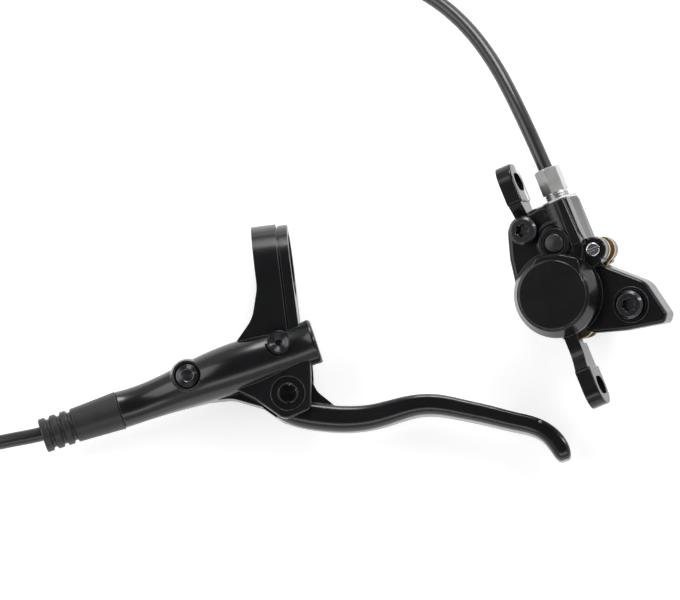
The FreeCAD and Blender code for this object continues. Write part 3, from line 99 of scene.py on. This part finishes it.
LEVER_UP = Vector(JOINTS["lever_pivot"]["axis"])
CALIPER_OUT = Vector(JOINTS["inner_piston_slide"]["axis"])
POST_AXIS = -Vector(MOUNTS["post_mount"]["axis"])
CAL_U = (POST_AXIS - CALIPER_OUT * POST_AXIS.dot(CALIPER_OUT)).normalized()
CAL_V = CALIPER_OUT.cross(CAL_U)
# Place of the pistons in that frame, across and up
PISTON_U = -0.7
PISTON_V = -3.4
PISTON_MIDDLE = (middle("outer_piston_seal") + middle("inner_piston_seal")) / 2
CAL_ORIGIN = PISTON_MIDDLE - (CAL_U * PISTON_U + CAL_V * PISTON_V) * MM


def cal(u, v, n):
    """A point of the caliper's own frame, in millimetres across, up and outboard."""
    return CAL_ORIGIN + (CAL_U * u + CAL_V * v + CALIPER_OUT * n) * MM


# Hose port: its axis across and outboard, and the height of its machined face
PORT_U = 11.0
PORT_N = 5.6
PORT_FACE_V = 26.4


# Camera: a long lens over the brake, tipped towards the blade and rolled. Its target is in
# millimetres, and its distance and the width that it sees are in metres

TARGET_MM = (20.9, -13.9, 0.0)
LEAN_DEG = 2.0
TIP_DEG = 10.9
ROLL_DEG = 7.0
CAMERA_DISTANCE = 3.0
SEEN_WIDTH = 0.2305
SENSOR_WIDTH = 36.0


def add_camera():
    lean, tip, roll = (math.radians(angle) for angle in (LEAN_DEG, TIP_DEG, ROLL_DEG))
    toward = Vector((math.tan(lean), -math.tan(tip), 1.0)).normalized()
    along = (Vector((1, 0, 0)) - toward * toward.x).normalized()
    across = toward.cross(along)
    right = along * math.cos(roll) - across * math.sin(roll)
    up = along * math.sin(roll) + across * math.cos(roll)
    data = bpy.data.cameras.new("camera")
    data.sensor_width = SENSOR_WIDTH
    data.lens = SENSOR_WIDTH * CAMERA_DISTANCE / SEEN_WIDTH
    data.clip_end = 10.0
    camera = add_object("camera", data)
    matrix = Matrix((right, up, toward)).transposed().to_4x4()
    matrix.translation = Vector(TARGET_MM) * MM + toward * CAMERA_DISTANCE
    camera.matrix_world = matrix
    bpy.context.scene.camera = camera


add_camera()


# Shader building blocks

def rgb(red, green, blue):
    return (red, green, blue, 1.0)


def scaled(color, factor, lift=0.0, limit=1.0):
    """The colour with its three parts scaled, lifted and held under a limit."""
    return tuple(min(limit, part * factor + lift) for part in color[:3]) + (1.0,)


class Shader:
    """A material's node tree, with short ways to add and join nodes."""

    def __init__(self, name, **sockets):
        self.material = bpy.data.materials.new(name)
        self.material.use_nodes = True
        self.tree = self.material.node_tree
        self.surface = self.tree.nodes["Principled BSDF"]
        for socket, value in sockets.items():
            self.surface.inputs[socket.replace("_", " ")].default_value = value
        self.coords = self.add("ShaderNodeTexCoord").outputs["Object"]

    def add(self, kind, **settings):
        node = self.tree.nodes.new(kind)
        for key, value in settings.items():
            setattr(node, key, value)
        return node

    def join(self, source, target):
        """Set a socket to a value, or link it to another socket."""
        if isinstance(source, (int, float, tuple)):
            target.default_value = source
        else:
            self.tree.links.new(source, target)

    def vector(self, operation, a, b=None):
        node = self.add("ShaderNodeVectorMath", operation=operation)
        self.join(a, node.inputs[0])
        if b is not None:
            self.join(b, node.inputs[1])
        output = "Value" if operation in ("DOT_PRODUCT", "LENGTH") else "Vector"
        return node.outputs[output]

    def number(self, operation, a, b=0.0, c=0.0):
        node = self.add("ShaderNodeMath", operation=operation)
        self.join(a, node.inputs[0])
        self.join(b, node.inputs[1])
        self.join(c, node.inputs[2])
        return node.outputs[0]

    def ramp(self, value, low, high, start=0.0, finish=1.0):
        """A smooth step from start to finish as the value goes from low to high."""
        node = self.add("ShaderNodeMapRange", clamp=True, interpolation_type="SMOOTHSTEP")
        self.join(value, node.inputs["Value"])
        self.join(low, node.inputs["From Min"])
        self.join(high, node.inputs["From Max"])
        self.join(start, node.inputs["To Min"])
        self.join(finish, node.inputs["To Max"])
        return node.outputs["Result"]

    def noise(self, size_mm, detail=2.0, roughness=0.5, stretch=None):
        """Noise whose blobs are about size_mm across; stretch scales its coordinates."""
        source = self.vector("MULTIPLY", self.coords, stretch) if stretch else self.coords
        node = self.add("ShaderNodeTexNoise")
        self.join(1.0 / (size_mm * MM), node.inputs["Scale"])
        self.join(detail, node.inputs["Detail"])
        self.join(roughness, node.inputs["Roughness"])
        self.join(source, node.inputs["Vector"])
        return node.outputs["Fac"]

    def mix(self, factor, a, b):
        """Between two colours."""
        node = self.add("ShaderNodeMix", data_type="RGBA")
        self.join(factor, node.inputs[0])
        self.join(a, node.inputs[6])
        self.join(b, node.inputs[7])
        return node.outputs[2]

    def blend(self, factor, a, b):
        """Between two numbers."""
        node = self.add("ShaderNodeMix", data_type="FLOAT")
        self.join(factor, node.inputs[0])
        self.join(a, node.inputs[2])
        self.join(b, node.inputs[3])
        return node.outputs[0]

    def soft_edges(self, radius_mm):
        """The surface's direction with its edges rounded."""
        node = self.add("ShaderNodeBevel", samples=4)
        self.join(radius_mm * MM, node.inputs["Radius"])
        return node.outputs["Normal"]

    def edges(self, radius_mm, sharp=0.75, flat=0.97):
        """One along sharp edges and creases: the mask where a painted highlight is laid.

        sharp and flat say how far the rounded and the true direction agree there.
        """
        shading = self.add("ShaderNodeNewGeometry").outputs["Normal"]
        agreement = self.vector("DOT_PRODUCT", self.soft_edges(radius_mm), shading)
        return self.ramp(agreement, sharp, flat, 1.0, 0.0)

    def bump(self, height, depth_mm, strength=1.0, normal=None):
        node = self.add("ShaderNodeBump")
        self.join(strength, node.inputs["Strength"])
        self.join(depth_mm * MM, node.inputs["Distance"])
        self.join(height, node.inputs["Height"])
        if normal is not None:
            self.join(normal, node.inputs["Normal"])
        return node.outputs["Normal"]

    def about_axis(self, origin, axis):
        """Height along an axis, distance from it, and the direction round it."""
        offset = self.vector("SUBTRACT", self.coords, tuple(origin))
        height = self.vector("DOT_PRODUCT", offset, tuple(axis))
        round_it = self.vector("CROSS_PRODUCT", tuple(axis), offset)
        return height, self.vector("LENGTH", round_it), self.vector("NORMALIZE", round_it)

    def color(self, value):
        self.join(value, self.surface.inputs["Base Color"])

    def roughness(self, value):
        self.join(value, self.surface.inputs["Roughness"])

    def metallic(self, value):
        self.join(value, self.surface.inputs["Metallic"])

    def tangent(self, value):
        self.join(value, self.surface.inputs["Tangent"])

    def normal(self, value):
        self.join(value, self.surface.inputs["Normal"])


def assign(material, *names):
    """Give the named nodes one material in place of their own."""
    for name in names:
        mesh = NODES[name].data
        mesh.materials.clear()
        mesh.materials.append(material)


# Paint, with bare metal where it was machined or chipped

PAINT_DEEP = rgb(0.0055, 0.0058, 0.0065)
PAINT_PALE = rgb(0.0095, 0.0100, 0.0112)
PAINT_DUST = rgb(0.05, 0.05, 0.052)
# Pale colour painted along the paint's edges and creases: a painted highlight
PAINT_EDGE_HIGHLIGHT = rgb(0.15, 0.155, 0.165)
PAINT_ROUGHNESS_SPREAD = 0.08
# Noise above these values is dust, and dust is this much rougher
DUST_FROM, DUST_TO = 0.71, 0.76
DUST_ROUGHNESS = 0.25
GRIT_SHARE = 0.25
MACHINED_METAL = rgb(0.62, 0.62, 0.61)
CHIPPED_METAL = rgb(0.5, 0.49, 0.47)
BARE_METAL_ROUGHNESS = 0.3
# The port's spot face: its radius, how deep it is bare, and how soft both borders are
SPOT_FACE_RADIUS = 9.9
SPOT_FACE_DEPTH = 0.75
SPOT_RIM_BORDER = 0.3
SPOT_DEPTH_BORDER = 0.25
# The chip in the blade's paint near its tip
CHIP_PLACE = (83.4, -64.3, 3.0)
CHIP_RADIUS = 1.0
CHIP_BORDER = 0.2
CHIP_RAGGED = 0.7


def black_paint(name, edge_mm=0.35, rough=0.17, ior=1.5):
    """Satin gloss black paint over a casting: faint orange peel, dust, softened edges, and a painted highlight
    along edges and creases.
    """
    paint = Shader(name, Coat_Weight=0.2, Coat_Roughness=0.08, IOR=ior)
    cloud = paint.noise(size_mm=9.0, detail=3.0)
    peel = paint.noise(size_mm=0.55, detail=2.0)
    grit = paint.noise(size_mm=0.12, detail=1.0)
    dust = paint.ramp(paint.noise(size_mm=0.5, detail=4.0, roughness=0.75), DUST_FROM, DUST_TO)
    base = paint.mix(cloud, PAINT_DEEP, PAINT_PALE)
    base = paint.mix(dust, base, PAINT_DUST)
    # Edges and creases take a pale colour here: a painted highlight
    paint.color(paint.mix(paint.edges(edge_mm), base, PAINT_EDGE_HIGHLIGHT))
    even = paint.blend(cloud, rough, rough + PAINT_ROUGHNESS_SPREAD)
    paint.roughness(paint.number("MULTIPLY_ADD", dust, DUST_ROUGHNESS, even))
    height = paint.number("MULTIPLY_ADD", grit, GRIT_SHARE, peel)
    paint.normal(paint.bump(height, depth_mm=0.012, normal=paint.soft_edges(edge_mm)))
    return paint


def lay_bare(paint, mask, metal):
    """Turn the paint's colour, roughness and metal over to bare metal where the mask is one."""
    painted = paint.surface.inputs["Base Color"].links[0].from_socket
    gloss = paint.surface.inputs["Roughness"].links[0].from_socket
    paint.color(paint.mix(mask, painted, metal))
    paint.roughness(paint.blend(mask, gloss, BARE_METAL_ROUGHNESS))
    paint.metallic(mask)


def caliper_paint():
    """Paint with the hose port's spot face left bare."""
    paint = black_paint("caliper_paint", ior=1.38)
    height, radius, _ = paint.about_axis(cal(PORT_U, PORT_FACE_V, PORT_N), CAL_V)
    near = paint.ramp(height, -SPOT_FACE_DEPTH * MM, (SPOT_DEPTH_BORDER - SPOT_FACE_DEPTH) * MM)
    inside = paint.ramp(radius, (SPOT_FACE_RADIUS - SPOT_RIM_BORDER) * MM, SPOT_FACE_RADIUS * MM, 1.0, 0.0)
    lay_bare(paint, paint.number("MULTIPLY", near, inside), MACHINED_METAL)
    return paint.material


def lever_paint():
    """Paint with the chip near the blade's tip."""
    paint = black_paint("lever_paint", edge_mm=0.5)
    offset = paint.vector("SUBTRACT", paint.coords, tuple(Vector(CHIP_PLACE) * MM))
    reach = paint.vector("LENGTH", offset)
    wander = paint.noise(size_mm=0.7, detail=3.0)
    reach = paint.number("MULTIPLY_ADD", wander, CHIP_RAGGED * MM, reach)
    chip = paint.ramp(reach, (CHIP_RADIUS - CHIP_BORDER) * MM, CHIP_RADIUS * MM, 1.0, 0.0)
    lay_bare(paint, chip, CHIPPED_METAL)
    return paint.material


assign(black_paint("casting_paint", rough=0.2).material, "master_cylinder_body")
assign(caliper_paint(), "caliper_outer_half", "caliper_inner_half")
assign(lever_paint(), "brake_lever")


# Screws and pin that were faced on a lathe

# Radius at which the edges of small metal pieces are rounded
SMALL_EDGE_MM = 0.15
# Dark and pale colours of the turned rings on screws and pin: real tool marks, with the pale bands a painted
# highlight
SCREW_DARK = rgb(0.02, 0.0205, 0.022)
SCREW_PALE = rgb(0.14, 0.143, 0.15)
PIN_DARK = rgb(0.025, 0.025, 0.027)
PIN_PALE = rgb(0.07, 0.071, 0.075)
# Pale colour painted along the edges of turned pieces: a painted highlight
METAL_EDGE_HIGHLIGHT = rgb(0.55, 0.56, 0.58)
TURNED_ROUGHNESS_SPREAD = 0.06


def turned_metal(name, node, dark, pale, roughness=0.3, pitch_mm=0.5, edge_mm=0.25):
    """Turned metal: rings about the screw's axis, whose pale bands are partly a painted highlight, and a sheen
    that fans out from it; its edges carry a painted highlight.
    """
    metal = Shader(name, Anisotropic=0.85, Metallic=1.0)
    _, radius, round_it = metal.about_axis(middle(node), LEVER_UP)
    turns = metal.number("MULTIPLY", radius, 2.0 * math.pi / (pitch_mm * MM))
    rings = metal.number("SINE", turns)
    grit = metal.noise(size_mm=0.3, detail=2.0)
    # Turning rings in the colour: real tool marks, their pale bands a painted highlight of the grooves
    face = metal.mix(metal.ramp(rings, -1.0, 1.0), dark, pale)
    # Edges take a pale colour here: a painted highlight
    metal.color(metal.mix(metal.edges(edge_mm), face, METAL_EDGE_HIGHLIGHT))
    metal.roughness(metal.blend(grit, roughness - TURNED_ROUGHNESS_SPREAD,
                                roughness + TURNED_ROUGHNESS_SPREAD))
    metal.tangent(metal.vector("CROSS_PRODUCT", round_it, tuple(LEVER_UP)))
    metal.normal(metal.bump(rings, depth_mm=0.02, strength=0.5, normal=metal.soft_edges(SMALL_EDGE_MM)))
    return metal.material


for screw in ("bleed_screw", "rear_plug"):
    assign(turned_metal(screw + "_metal", screw, SCREW_DARK, SCREW_PALE), screw)
assign(turned_metal("pivot_pin_metal", "lever_pivot_pin", PIN_DARK, PIN_PALE, roughness=0.2, pitch_mm=0.9,
                    edge_mm=0.1), "lever_pivot_pin")


# Plated, oxidised and drawn metal

# Radius of the edge mask along which plated metal is painted pale: a painted highlight
HIGHLIGHT_EDGE_MM = 0.22


def plated_steel(name, color, roughness, size_mm=0.4, depth_mm=0.01):
    """Metal with fine scratches along it, and a painted highlight along its edges."""
    steel = Shader(name, Metallic=1.0)
    cloud = steel.noise(size_mm=2.5, detail=3.0)
    scratch = steel.noise(size_mm, detail=3.0, stretch=(1.0, 1.0, 6.0))
    shade = scaled(color, factor=0.7)
    # Pale colour for the edges: a painted highlight
    edge_highlight = scaled(color, factor=1.3, lift=0.16, limit=0.9)
    steel.color(steel.mix(steel.edges(HIGHLIGHT_EDGE_MM), steel.mix(cloud, shade, color), edge_highlight))
    steel.roughness(steel.blend(scratch, roughness - 0.08, roughness + 0.1))
    steel.normal(steel.bump(scratch, depth_mm, normal=steel.soft_edges(SMALL_EDGE_MM)))
    return steel.material


assign(plated_steel("circlip_steel", rgb(0.2, 0.203, 0.21), roughness=0.3), "pivot_circlip")
assign(plated_steel("clamp_bolt_oxide", rgb(0.1, 0.1, 0.105), roughness=0.32), "clamp_bolt")
assign(plated_steel("body_bolt_oxide", rgb(0.1, 0.101, 0.107), roughness=0.22, depth_mm=0.005),
       "caliper_body_bolts")
assign(plated_steel("nut_steel", rgb(0.72, 0.72, 0.71), roughness=0.36, size_mm=0.8),
       "caliper_hose_nut", "lever_compression_nut", "bleed_nipple")
assign(plated_steel("pin_steel", rgb(0.8, 0.82, 0.85), roughness=0.14), "pad_pin", "push_rod")
assign(plated_steel("spring_steel", rgb(0.55, 0.56, 0.58), roughness=0.25),
       "pad_spring", "return_spring", "piston_retaining_ring")
assign(plated_steel("pad_plate_plating", rgb(0.56, 0.43, 0.24), roughness=0.34),
       "outer_pad_plate", "inner_pad_plate")
assign(plated_steel("brass", rgb(0.78, 0.6, 0.3), roughness=0.24),
       "lever_olive", "caliper_olive", "lever_hose_insert", "caliper_hose_insert")


# Pad linings, seals and plastics

def plain_moulding(name, dark, pale, roughness, grain_mm=0.4, depth_mm=0.01):
    """Moulded or pressed material with a fine grain and a slow change of colour."""
    moulding = Shader(name)
    cloud = moulding.noise(size_mm=3.0, detail=3.0)
    grain = moulding.noise(grain_mm, detail=3.0)
    moulding.color(moulding.mix(cloud, dark, pale))
    moulding.roughness(moulding.blend(grain, roughness - 0.06, roughness + 0.08))
    moulding.normal(moulding.bump(grain, depth_mm))
    return moulding.material


def moulded_rubber():
    """Soft matte rubber with rounded edges, of the hose boot and the strap."""
    rubber = Shader("moulded_rubber", Sheen_Weight=0.08)
    cloud = rubber.noise(size_mm=4.0, detail=3.0)
    grain = rubber.noise(size_mm=0.25, detail=3.0, roughness=0.7)
    rubber.color(rubber.mix(cloud, rgb(0.014, 0.0145, 0.0155), rgb(0.024, 0.0245, 0.026)))
    rubber.roughness(rubber.blend(cloud, 0.36, 0.5))
    rubber.normal(rubber.bump(grain, depth_mm=0.015, normal=rubber.soft_edges(radius_mm=0.3)))
    return rubber.material


MOULDED_RUBBER = moulded_rubber()
assign(MOULDED_RUBBER, "lever_hose_boot")
assign(plain_moulding("friction_block", rgb(0.1, 0.075, 0.05), rgb(0.24, 0.18, 0.11), 0.8, grain_mm=0.5,
                      depth_mm=0.06), "outer_pad_lining", "inner_pad_lining")
assign(plain_moulding("seal_rubber", rgb(0.012, 0.012, 0.013), rgb(0.022, 0.022, 0.024), 0.5),
       "primary_cup", "secondary_cup", "bleed_screw_seal", "rear_plug_seal", "crossover_seal",
       "outer_piston_seal", "inner_piston_seal", "reservoir_bladder")
assign(plain_moulding("cap_rubber", rgb(0.016, 0.0165, 0.018), rgb(0.028, 0.029, 0.031), 0.3),
       "bleed_nipple_cap")
assign(plain_moulding("bush_plastic", rgb(0.42, 0.39, 0.33), rgb(0.5, 0.47, 0.4), 0.4), "pivot_bushes")
assign(plain_moulding("piston_resin", rgb(0.06, 0.05, 0.04), rgb(0.1, 0.085, 0.065), 0.35),
       "outer_piston", "inner_piston", "master_piston")


# The hose: the same route as its solids, with the coil's turns as more points of its spline

LEVER_ROUTE = [
    (-48.396, -40.144, -1.958), (-80.0, -46.62, -2.27), (-98.0, -47.6, -3.2), (-129.0, -49.0, -8.6),
    (-154.0, -26.0, -12.1), (-161.0, 12.0, -12.1), (-154.5, 48.0, -11.9), (-151.6, 82.0, -11.5),
]
COIL_MIDDLE = (-124.0, 82.0)
TURN_POINTS = 16
# Turns wound so far, radius and height of the hose's line there
COIL_COURSE = [
    (0.0, 27.6, -11.5), (0.65, 27.9, -11.5), (1.0, 22.7, -11.5), (1.62, 22.6, -11.5),
    (2.0, 22.7, -6.4), (2.55, 22.8, -6.4), (2.9, 28.0, -6.4), (3.25, 27.9, -6.4),
]
CALIPER_ROUTE = [
    (-94.0, 110.0, -7.6), (-60.0, 114.0, -12.1), (-17.0, 115.0, -12.1), (26.0, 109.0, -12.1),
    (58.5, 94.0, -7.0), (79.0, 70.0, 4.0), (92.490, 31.134, 18.186), (101.074, -0.552, 14.840),
]
HOSE_RADIUS = 2.5


def coil_course(wound):
    """Radius and height of the hose's line after so many turns, eased between the course's places."""
    for (start, radius, height), (end, next_radius, next_height) in zip(COIL_COURSE, COIL_COURSE[1:]):
        if wound <= end:
            share = (wound - start) / (end - start)
            eased = share * share * (3 - 2 * share)
            return radius + (next_radius - radius) * eased, height + (next_height - height) * eased


def coil_points():
    """Clockwise from the coil's left side: an outer and an inner turn below, then two on top of them."""
    points = []
    turns = COIL_COURSE[-1][0]
    for step in range(1, round(turns * TURN_POINTS) + 1):
        wound = step / TURN_POINTS
        radius, height = coil_course(wound)
        angle = math.pi - 2 * math.pi * wound
        across = COIL_MIDDLE[0] + radius * math.cos(angle)
        along = COIL_MIDDLE[1] + radius * math.sin(angle)
        points.append((across, along, height))
    return points


def hose_skin():
    """Extruded black hose with a fine grain."""
    skin = Shader("hose_skin", Coat_Weight=0.3, Coat_Roughness=0.15)
    cloud = skin.noise(size_mm=6.0, detail=3.0)
    grain = skin.noise(size_mm=0.5, detail=3.0, roughness=0.6)
    skin.color(skin.mix(cloud, rgb(0.012, 0.0125, 0.014), rgb(0.022, 0.023, 0.025)))
    skin.roughness(skin.blend(grain, 0.24, 0.4))
    skin.normal(skin.bump(grain, depth_mm=0.02))
    return skin.material


def add_hose():
    curve = bpy.data.curves.new("hose", "CURVE")
    curve.dimensions = "3D"
    curve.resolution_u = 10
    curve.bevel_depth = HOSE_RADIUS * MM
    curve.bevel_resolution = 7
    curve.use_fill_caps = True
    route = LEVER_ROUTE + coil_points() + CALIPER_ROUTE
    spline = curve.splines.new("NURBS")
    spline.points.add(len(route) - 1)
    for point, place in zip(spline.points, route):
        point.co = (place[0] * MM, place[1] * MM, place[2] * MM, 1.0)
    spline.order_u = 3
    spline.use_endpoint_u = True
    curve.materials.append(hose_skin())
    hose = add_object("hose", curve)
    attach(hose, "brake")
    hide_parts("lever_hose_span", "hose_coil", "caliper_hose_span")
    add_hose_tie()


# The strap round the coil, as a rounded loop round the section of its turns

TIE_INNER, TIE_OUTER = 20.05, 30.55
TIE_LOW, TIE_HIGH = -14.05, -3.85
TIE_CORNER = 1.6
TIE_WIDTH = 4.0
TIE_THICKNESS = 0.5
TIE_SPOKE_DEG = 135.0
CORNER_STEPS = 6
LAP_STEPS = 4
LAP_GAP = 0.05
# The strap's section: shares of its half width across, and of its thickness outwards
TIE_SECTION = ((-1, 0.0), (-1, 0.8), (-0.85, 1.0), (0.85, 1.0), (1, 0.8), (1, 0.0))


def tie_outline():
    """Radius and height along the strap's inside, clockwise from its top."""
    outline = []
    for corner_r, corner_z, first in (
        (TIE_OUTER - TIE_CORNER, TIE_HIGH - TIE_CORNER, 90),
        (TIE_OUTER - TIE_CORNER, TIE_LOW + TIE_CORNER, 0),
        (TIE_INNER + TIE_CORNER, TIE_LOW + TIE_CORNER, -90),
        (TIE_INNER + TIE_CORNER, TIE_HIGH - TIE_CORNER, -180),
    ):
        for step in range(CORNER_STEPS + 1):
            angle = math.radians(first - 90 * step / CORNER_STEPS)
            outline.append(Vector((corner_r + TIE_CORNER * math.cos(angle),
                                   corner_z + TIE_CORNER * math.sin(angle))))
    return outline


def add_hose_tie():
    """Rubber strap round the coil's turns, lapped over itself on top."""
    spoke = math.radians(TIE_SPOKE_DEG)
    radial = Vector((math.cos(spoke), math.sin(spoke), 0.0))
    across = Vector((-math.sin(spoke), math.cos(spoke), 0.0))
    hub = Vector((*COIL_MIDDLE, 0.0))
    centre = Vector((TIE_INNER + TIE_OUTER, TIE_LOW + TIE_HIGH)) / 2
    outline = tie_outline()
    verts = []
    rows = []
    for step in range(len(outline) + LAP_STEPS + 1):
        inside = outline[step % len(outline)]
        away = (inside - centre).normalized()
        lift = TIE_THICKNESS + LAP_GAP if step >= len(outline) - 1 else 0.0
        row = []
        for side, out in TIE_SECTION:
            place = inside + away * (lift + TIE_THICKNESS * out)
            spot = hub + radial * place.x + across * (side * TIE_WIDTH / 2) + Vector((0, 0, place.y))
            row.append(len(verts))
            verts.append(spot * MM)
        rows.append(row)
    tie = add_mesh("hose_tie", verts, band_faces(rows), MOULDED_RUBBER)
    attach(tie, "brake")
    return tie


add_hose()


# Threads that show between the hose nut and the caliper

THREAD_PITCH = 0.8
THREAD_TURNS = 3
THREAD_SIDES = 48
THREAD_CORE = 3.8
THREAD_CREST = 4.12
THREAD_START = 0.02
# Half widths of the ridge at its foot and at its crest, and the part of a turn over which it rises
RIDGE_FOOT = 0.36
RIDGE_CREST = 0.1
RUN_OUT = 0.2


def add_nut_thread():
    """Helical ridge on the nut's thread, from the port's face up to the hexagon."""
    verts = []
    rows = []
    last = THREAD_TURNS * THREAD_SIDES
    for step in range(last + 1):
        angle = 2 * math.pi * step / THREAD_SIDES
        rise = THREAD_START + THREAD_PITCH * step / THREAD_SIDES
        grown = min(1.0, min(step, last - step) / (RUN_OUT * THREAD_SIDES))
        top = THREAD_CORE + (THREAD_CREST - THREAD_CORE) * grown
        row = []
        for radius, offset in ((THREAD_CORE, -RIDGE_FOOT), (top, -RIDGE_CREST), (top, RIDGE_CREST),
                               (THREAD_CORE, RIDGE_FOOT)):
            row.append(len(verts))
            verts.append(cal(PORT_U + radius * math.cos(angle), PORT_FACE_V + rise + offset,
                             PORT_N + radius * math.sin(angle)))
        rows.append(row)
    steel = plated_steel("thread_steel", rgb(0.5, 0.5, 0.49), roughness=0.3)
    thread = add_mesh("caliper_hose_nut_thread", verts, band_faces(rows), steel)
    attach(thread, "brake")


add_nut_thread()


# Stage: a white sheet under the brake, in a light tent with soft boxes

# The floor's half width in metres, and its gap under the brake in millimetres
FLOOR_HALF = 4.0
FLOOR_GAP = 0.02
FLOOR_GLOW = 0.62
TENT_WALL = 0.5
TENT_TOP = 0.06
# Heights above the horizon between which the tent's wall gives way to its dark opening
OPENING_FROM_DEG = 38.0
OPENING_TO_DEG = 60.0
LAMP_TARGET = (0.02, -0.02, 0.0)
# Name, place, width, height and watts of each lamp, in metres
SOFTBOXES = [
    ("left_softbox", (-0.95, 0.2, 0.9), 1.0, 1.0, 7.0),
    ("back_softbox", (0.22, 1.0, 0.55), 0.5, 0.5, 7.0),
    ("right_strip", (1.0, 0.35, 0.7), 0.12, 0.9, 4.0),
    ("front_softbox", (0.1, -0.95, 0.75), 1.2, 0.3, 2.0),
]


def floor_sheet():
    """White sheet that glows to the camera, gloss and glass, and keeps the brake's shadow."""
    sheet = Shader("floor_sheet", Roughness=0.9)
    grain = sheet.noise(size_mm=3.0, detail=2.0)
    sheet.color(sheet.mix(grain, rgb(0.68, 0.68, 0.68), rgb(0.72, 0.72, 0.72)))
    path = sheet.add("ShaderNodeLightPath")
    seen = sheet.number("MAXIMUM", path.outputs["Is Camera Ray"], path.outputs["Is Glossy Ray"])
    seen = sheet.number("MAXIMUM", seen, path.outputs["Is Transmission Ray"])
    sheet.join(rgb(1.0, 1.0, 1.0), sheet.surface.inputs["Emission Color"])
    sheet.join(sheet.number("MULTIPLY", seen, FLOOR_GLOW), sheet.surface.inputs["Emission Strength"])
    return sheet.material


def add_floor():
    half = FLOOR_HALF
    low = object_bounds()[0][2] - FLOOR_GAP * MM
    corners = [(-half, -half, low), (half, -half, low), (half, half, low), (-half, half, low)]
    floor = add_mesh("floor", corners, [(0, 1, 2, 3)], floor_sheet())


def add_world():
    """A light tent: pale walls all round, and a dark opening overhead where the camera looks in."""
    world = bpy.data.worlds.new("studio")
    bpy.context.scene.world = world
    world.use_nodes = True
    tree = world.node_tree
    background = tree.nodes["Background"]
    coords = tree.nodes.new("ShaderNodeTexCoord")
    split = tree.nodes.new("ShaderNodeSeparateXYZ")
    opening = tree.nodes.new("ShaderNodeMapRange")
    opening.interpolation_type = "SMOOTHSTEP"
    opening.inputs["From Min"].default_value = math.sin(math.radians(OPENING_FROM_DEG))
    opening.inputs["From Max"].default_value = math.sin(math.radians(OPENING_TO_DEG))
    opening.inputs["To Min"].default_value = TENT_WALL
    opening.inputs["To Max"].default_value = TENT_TOP
    tree.links.new(coords.outputs["Generated"], split.inputs[0])
    tree.links.new(split.outputs["Z"], opening.inputs["Value"])
    tree.links.new(opening.outputs["Result"], background.inputs["Strength"])
    background.inputs["Color"].default_value = rgb(1.0, 1.0, 1.0)


def add_softbox(name, place, wide, tall, watts):
    light = bpy.data.lights.new(name, "AREA")
    light.shape = "RECTANGLE"
    light.size = wide
    light.size_y = tall
    light.energy = watts
    lamp = add_object(name, light)
    lamp.location = place
    lamp.rotation_euler = (Vector(LAMP_TARGET) - Vector(place)).to_track_quat("-Z", "Y").to_euler()


add_floor()
add_world()
for softbox in SOFTBOXES:
    add_softbox(*softbox)
bpy.context.scene.view_settings.view_transform = "Standard"
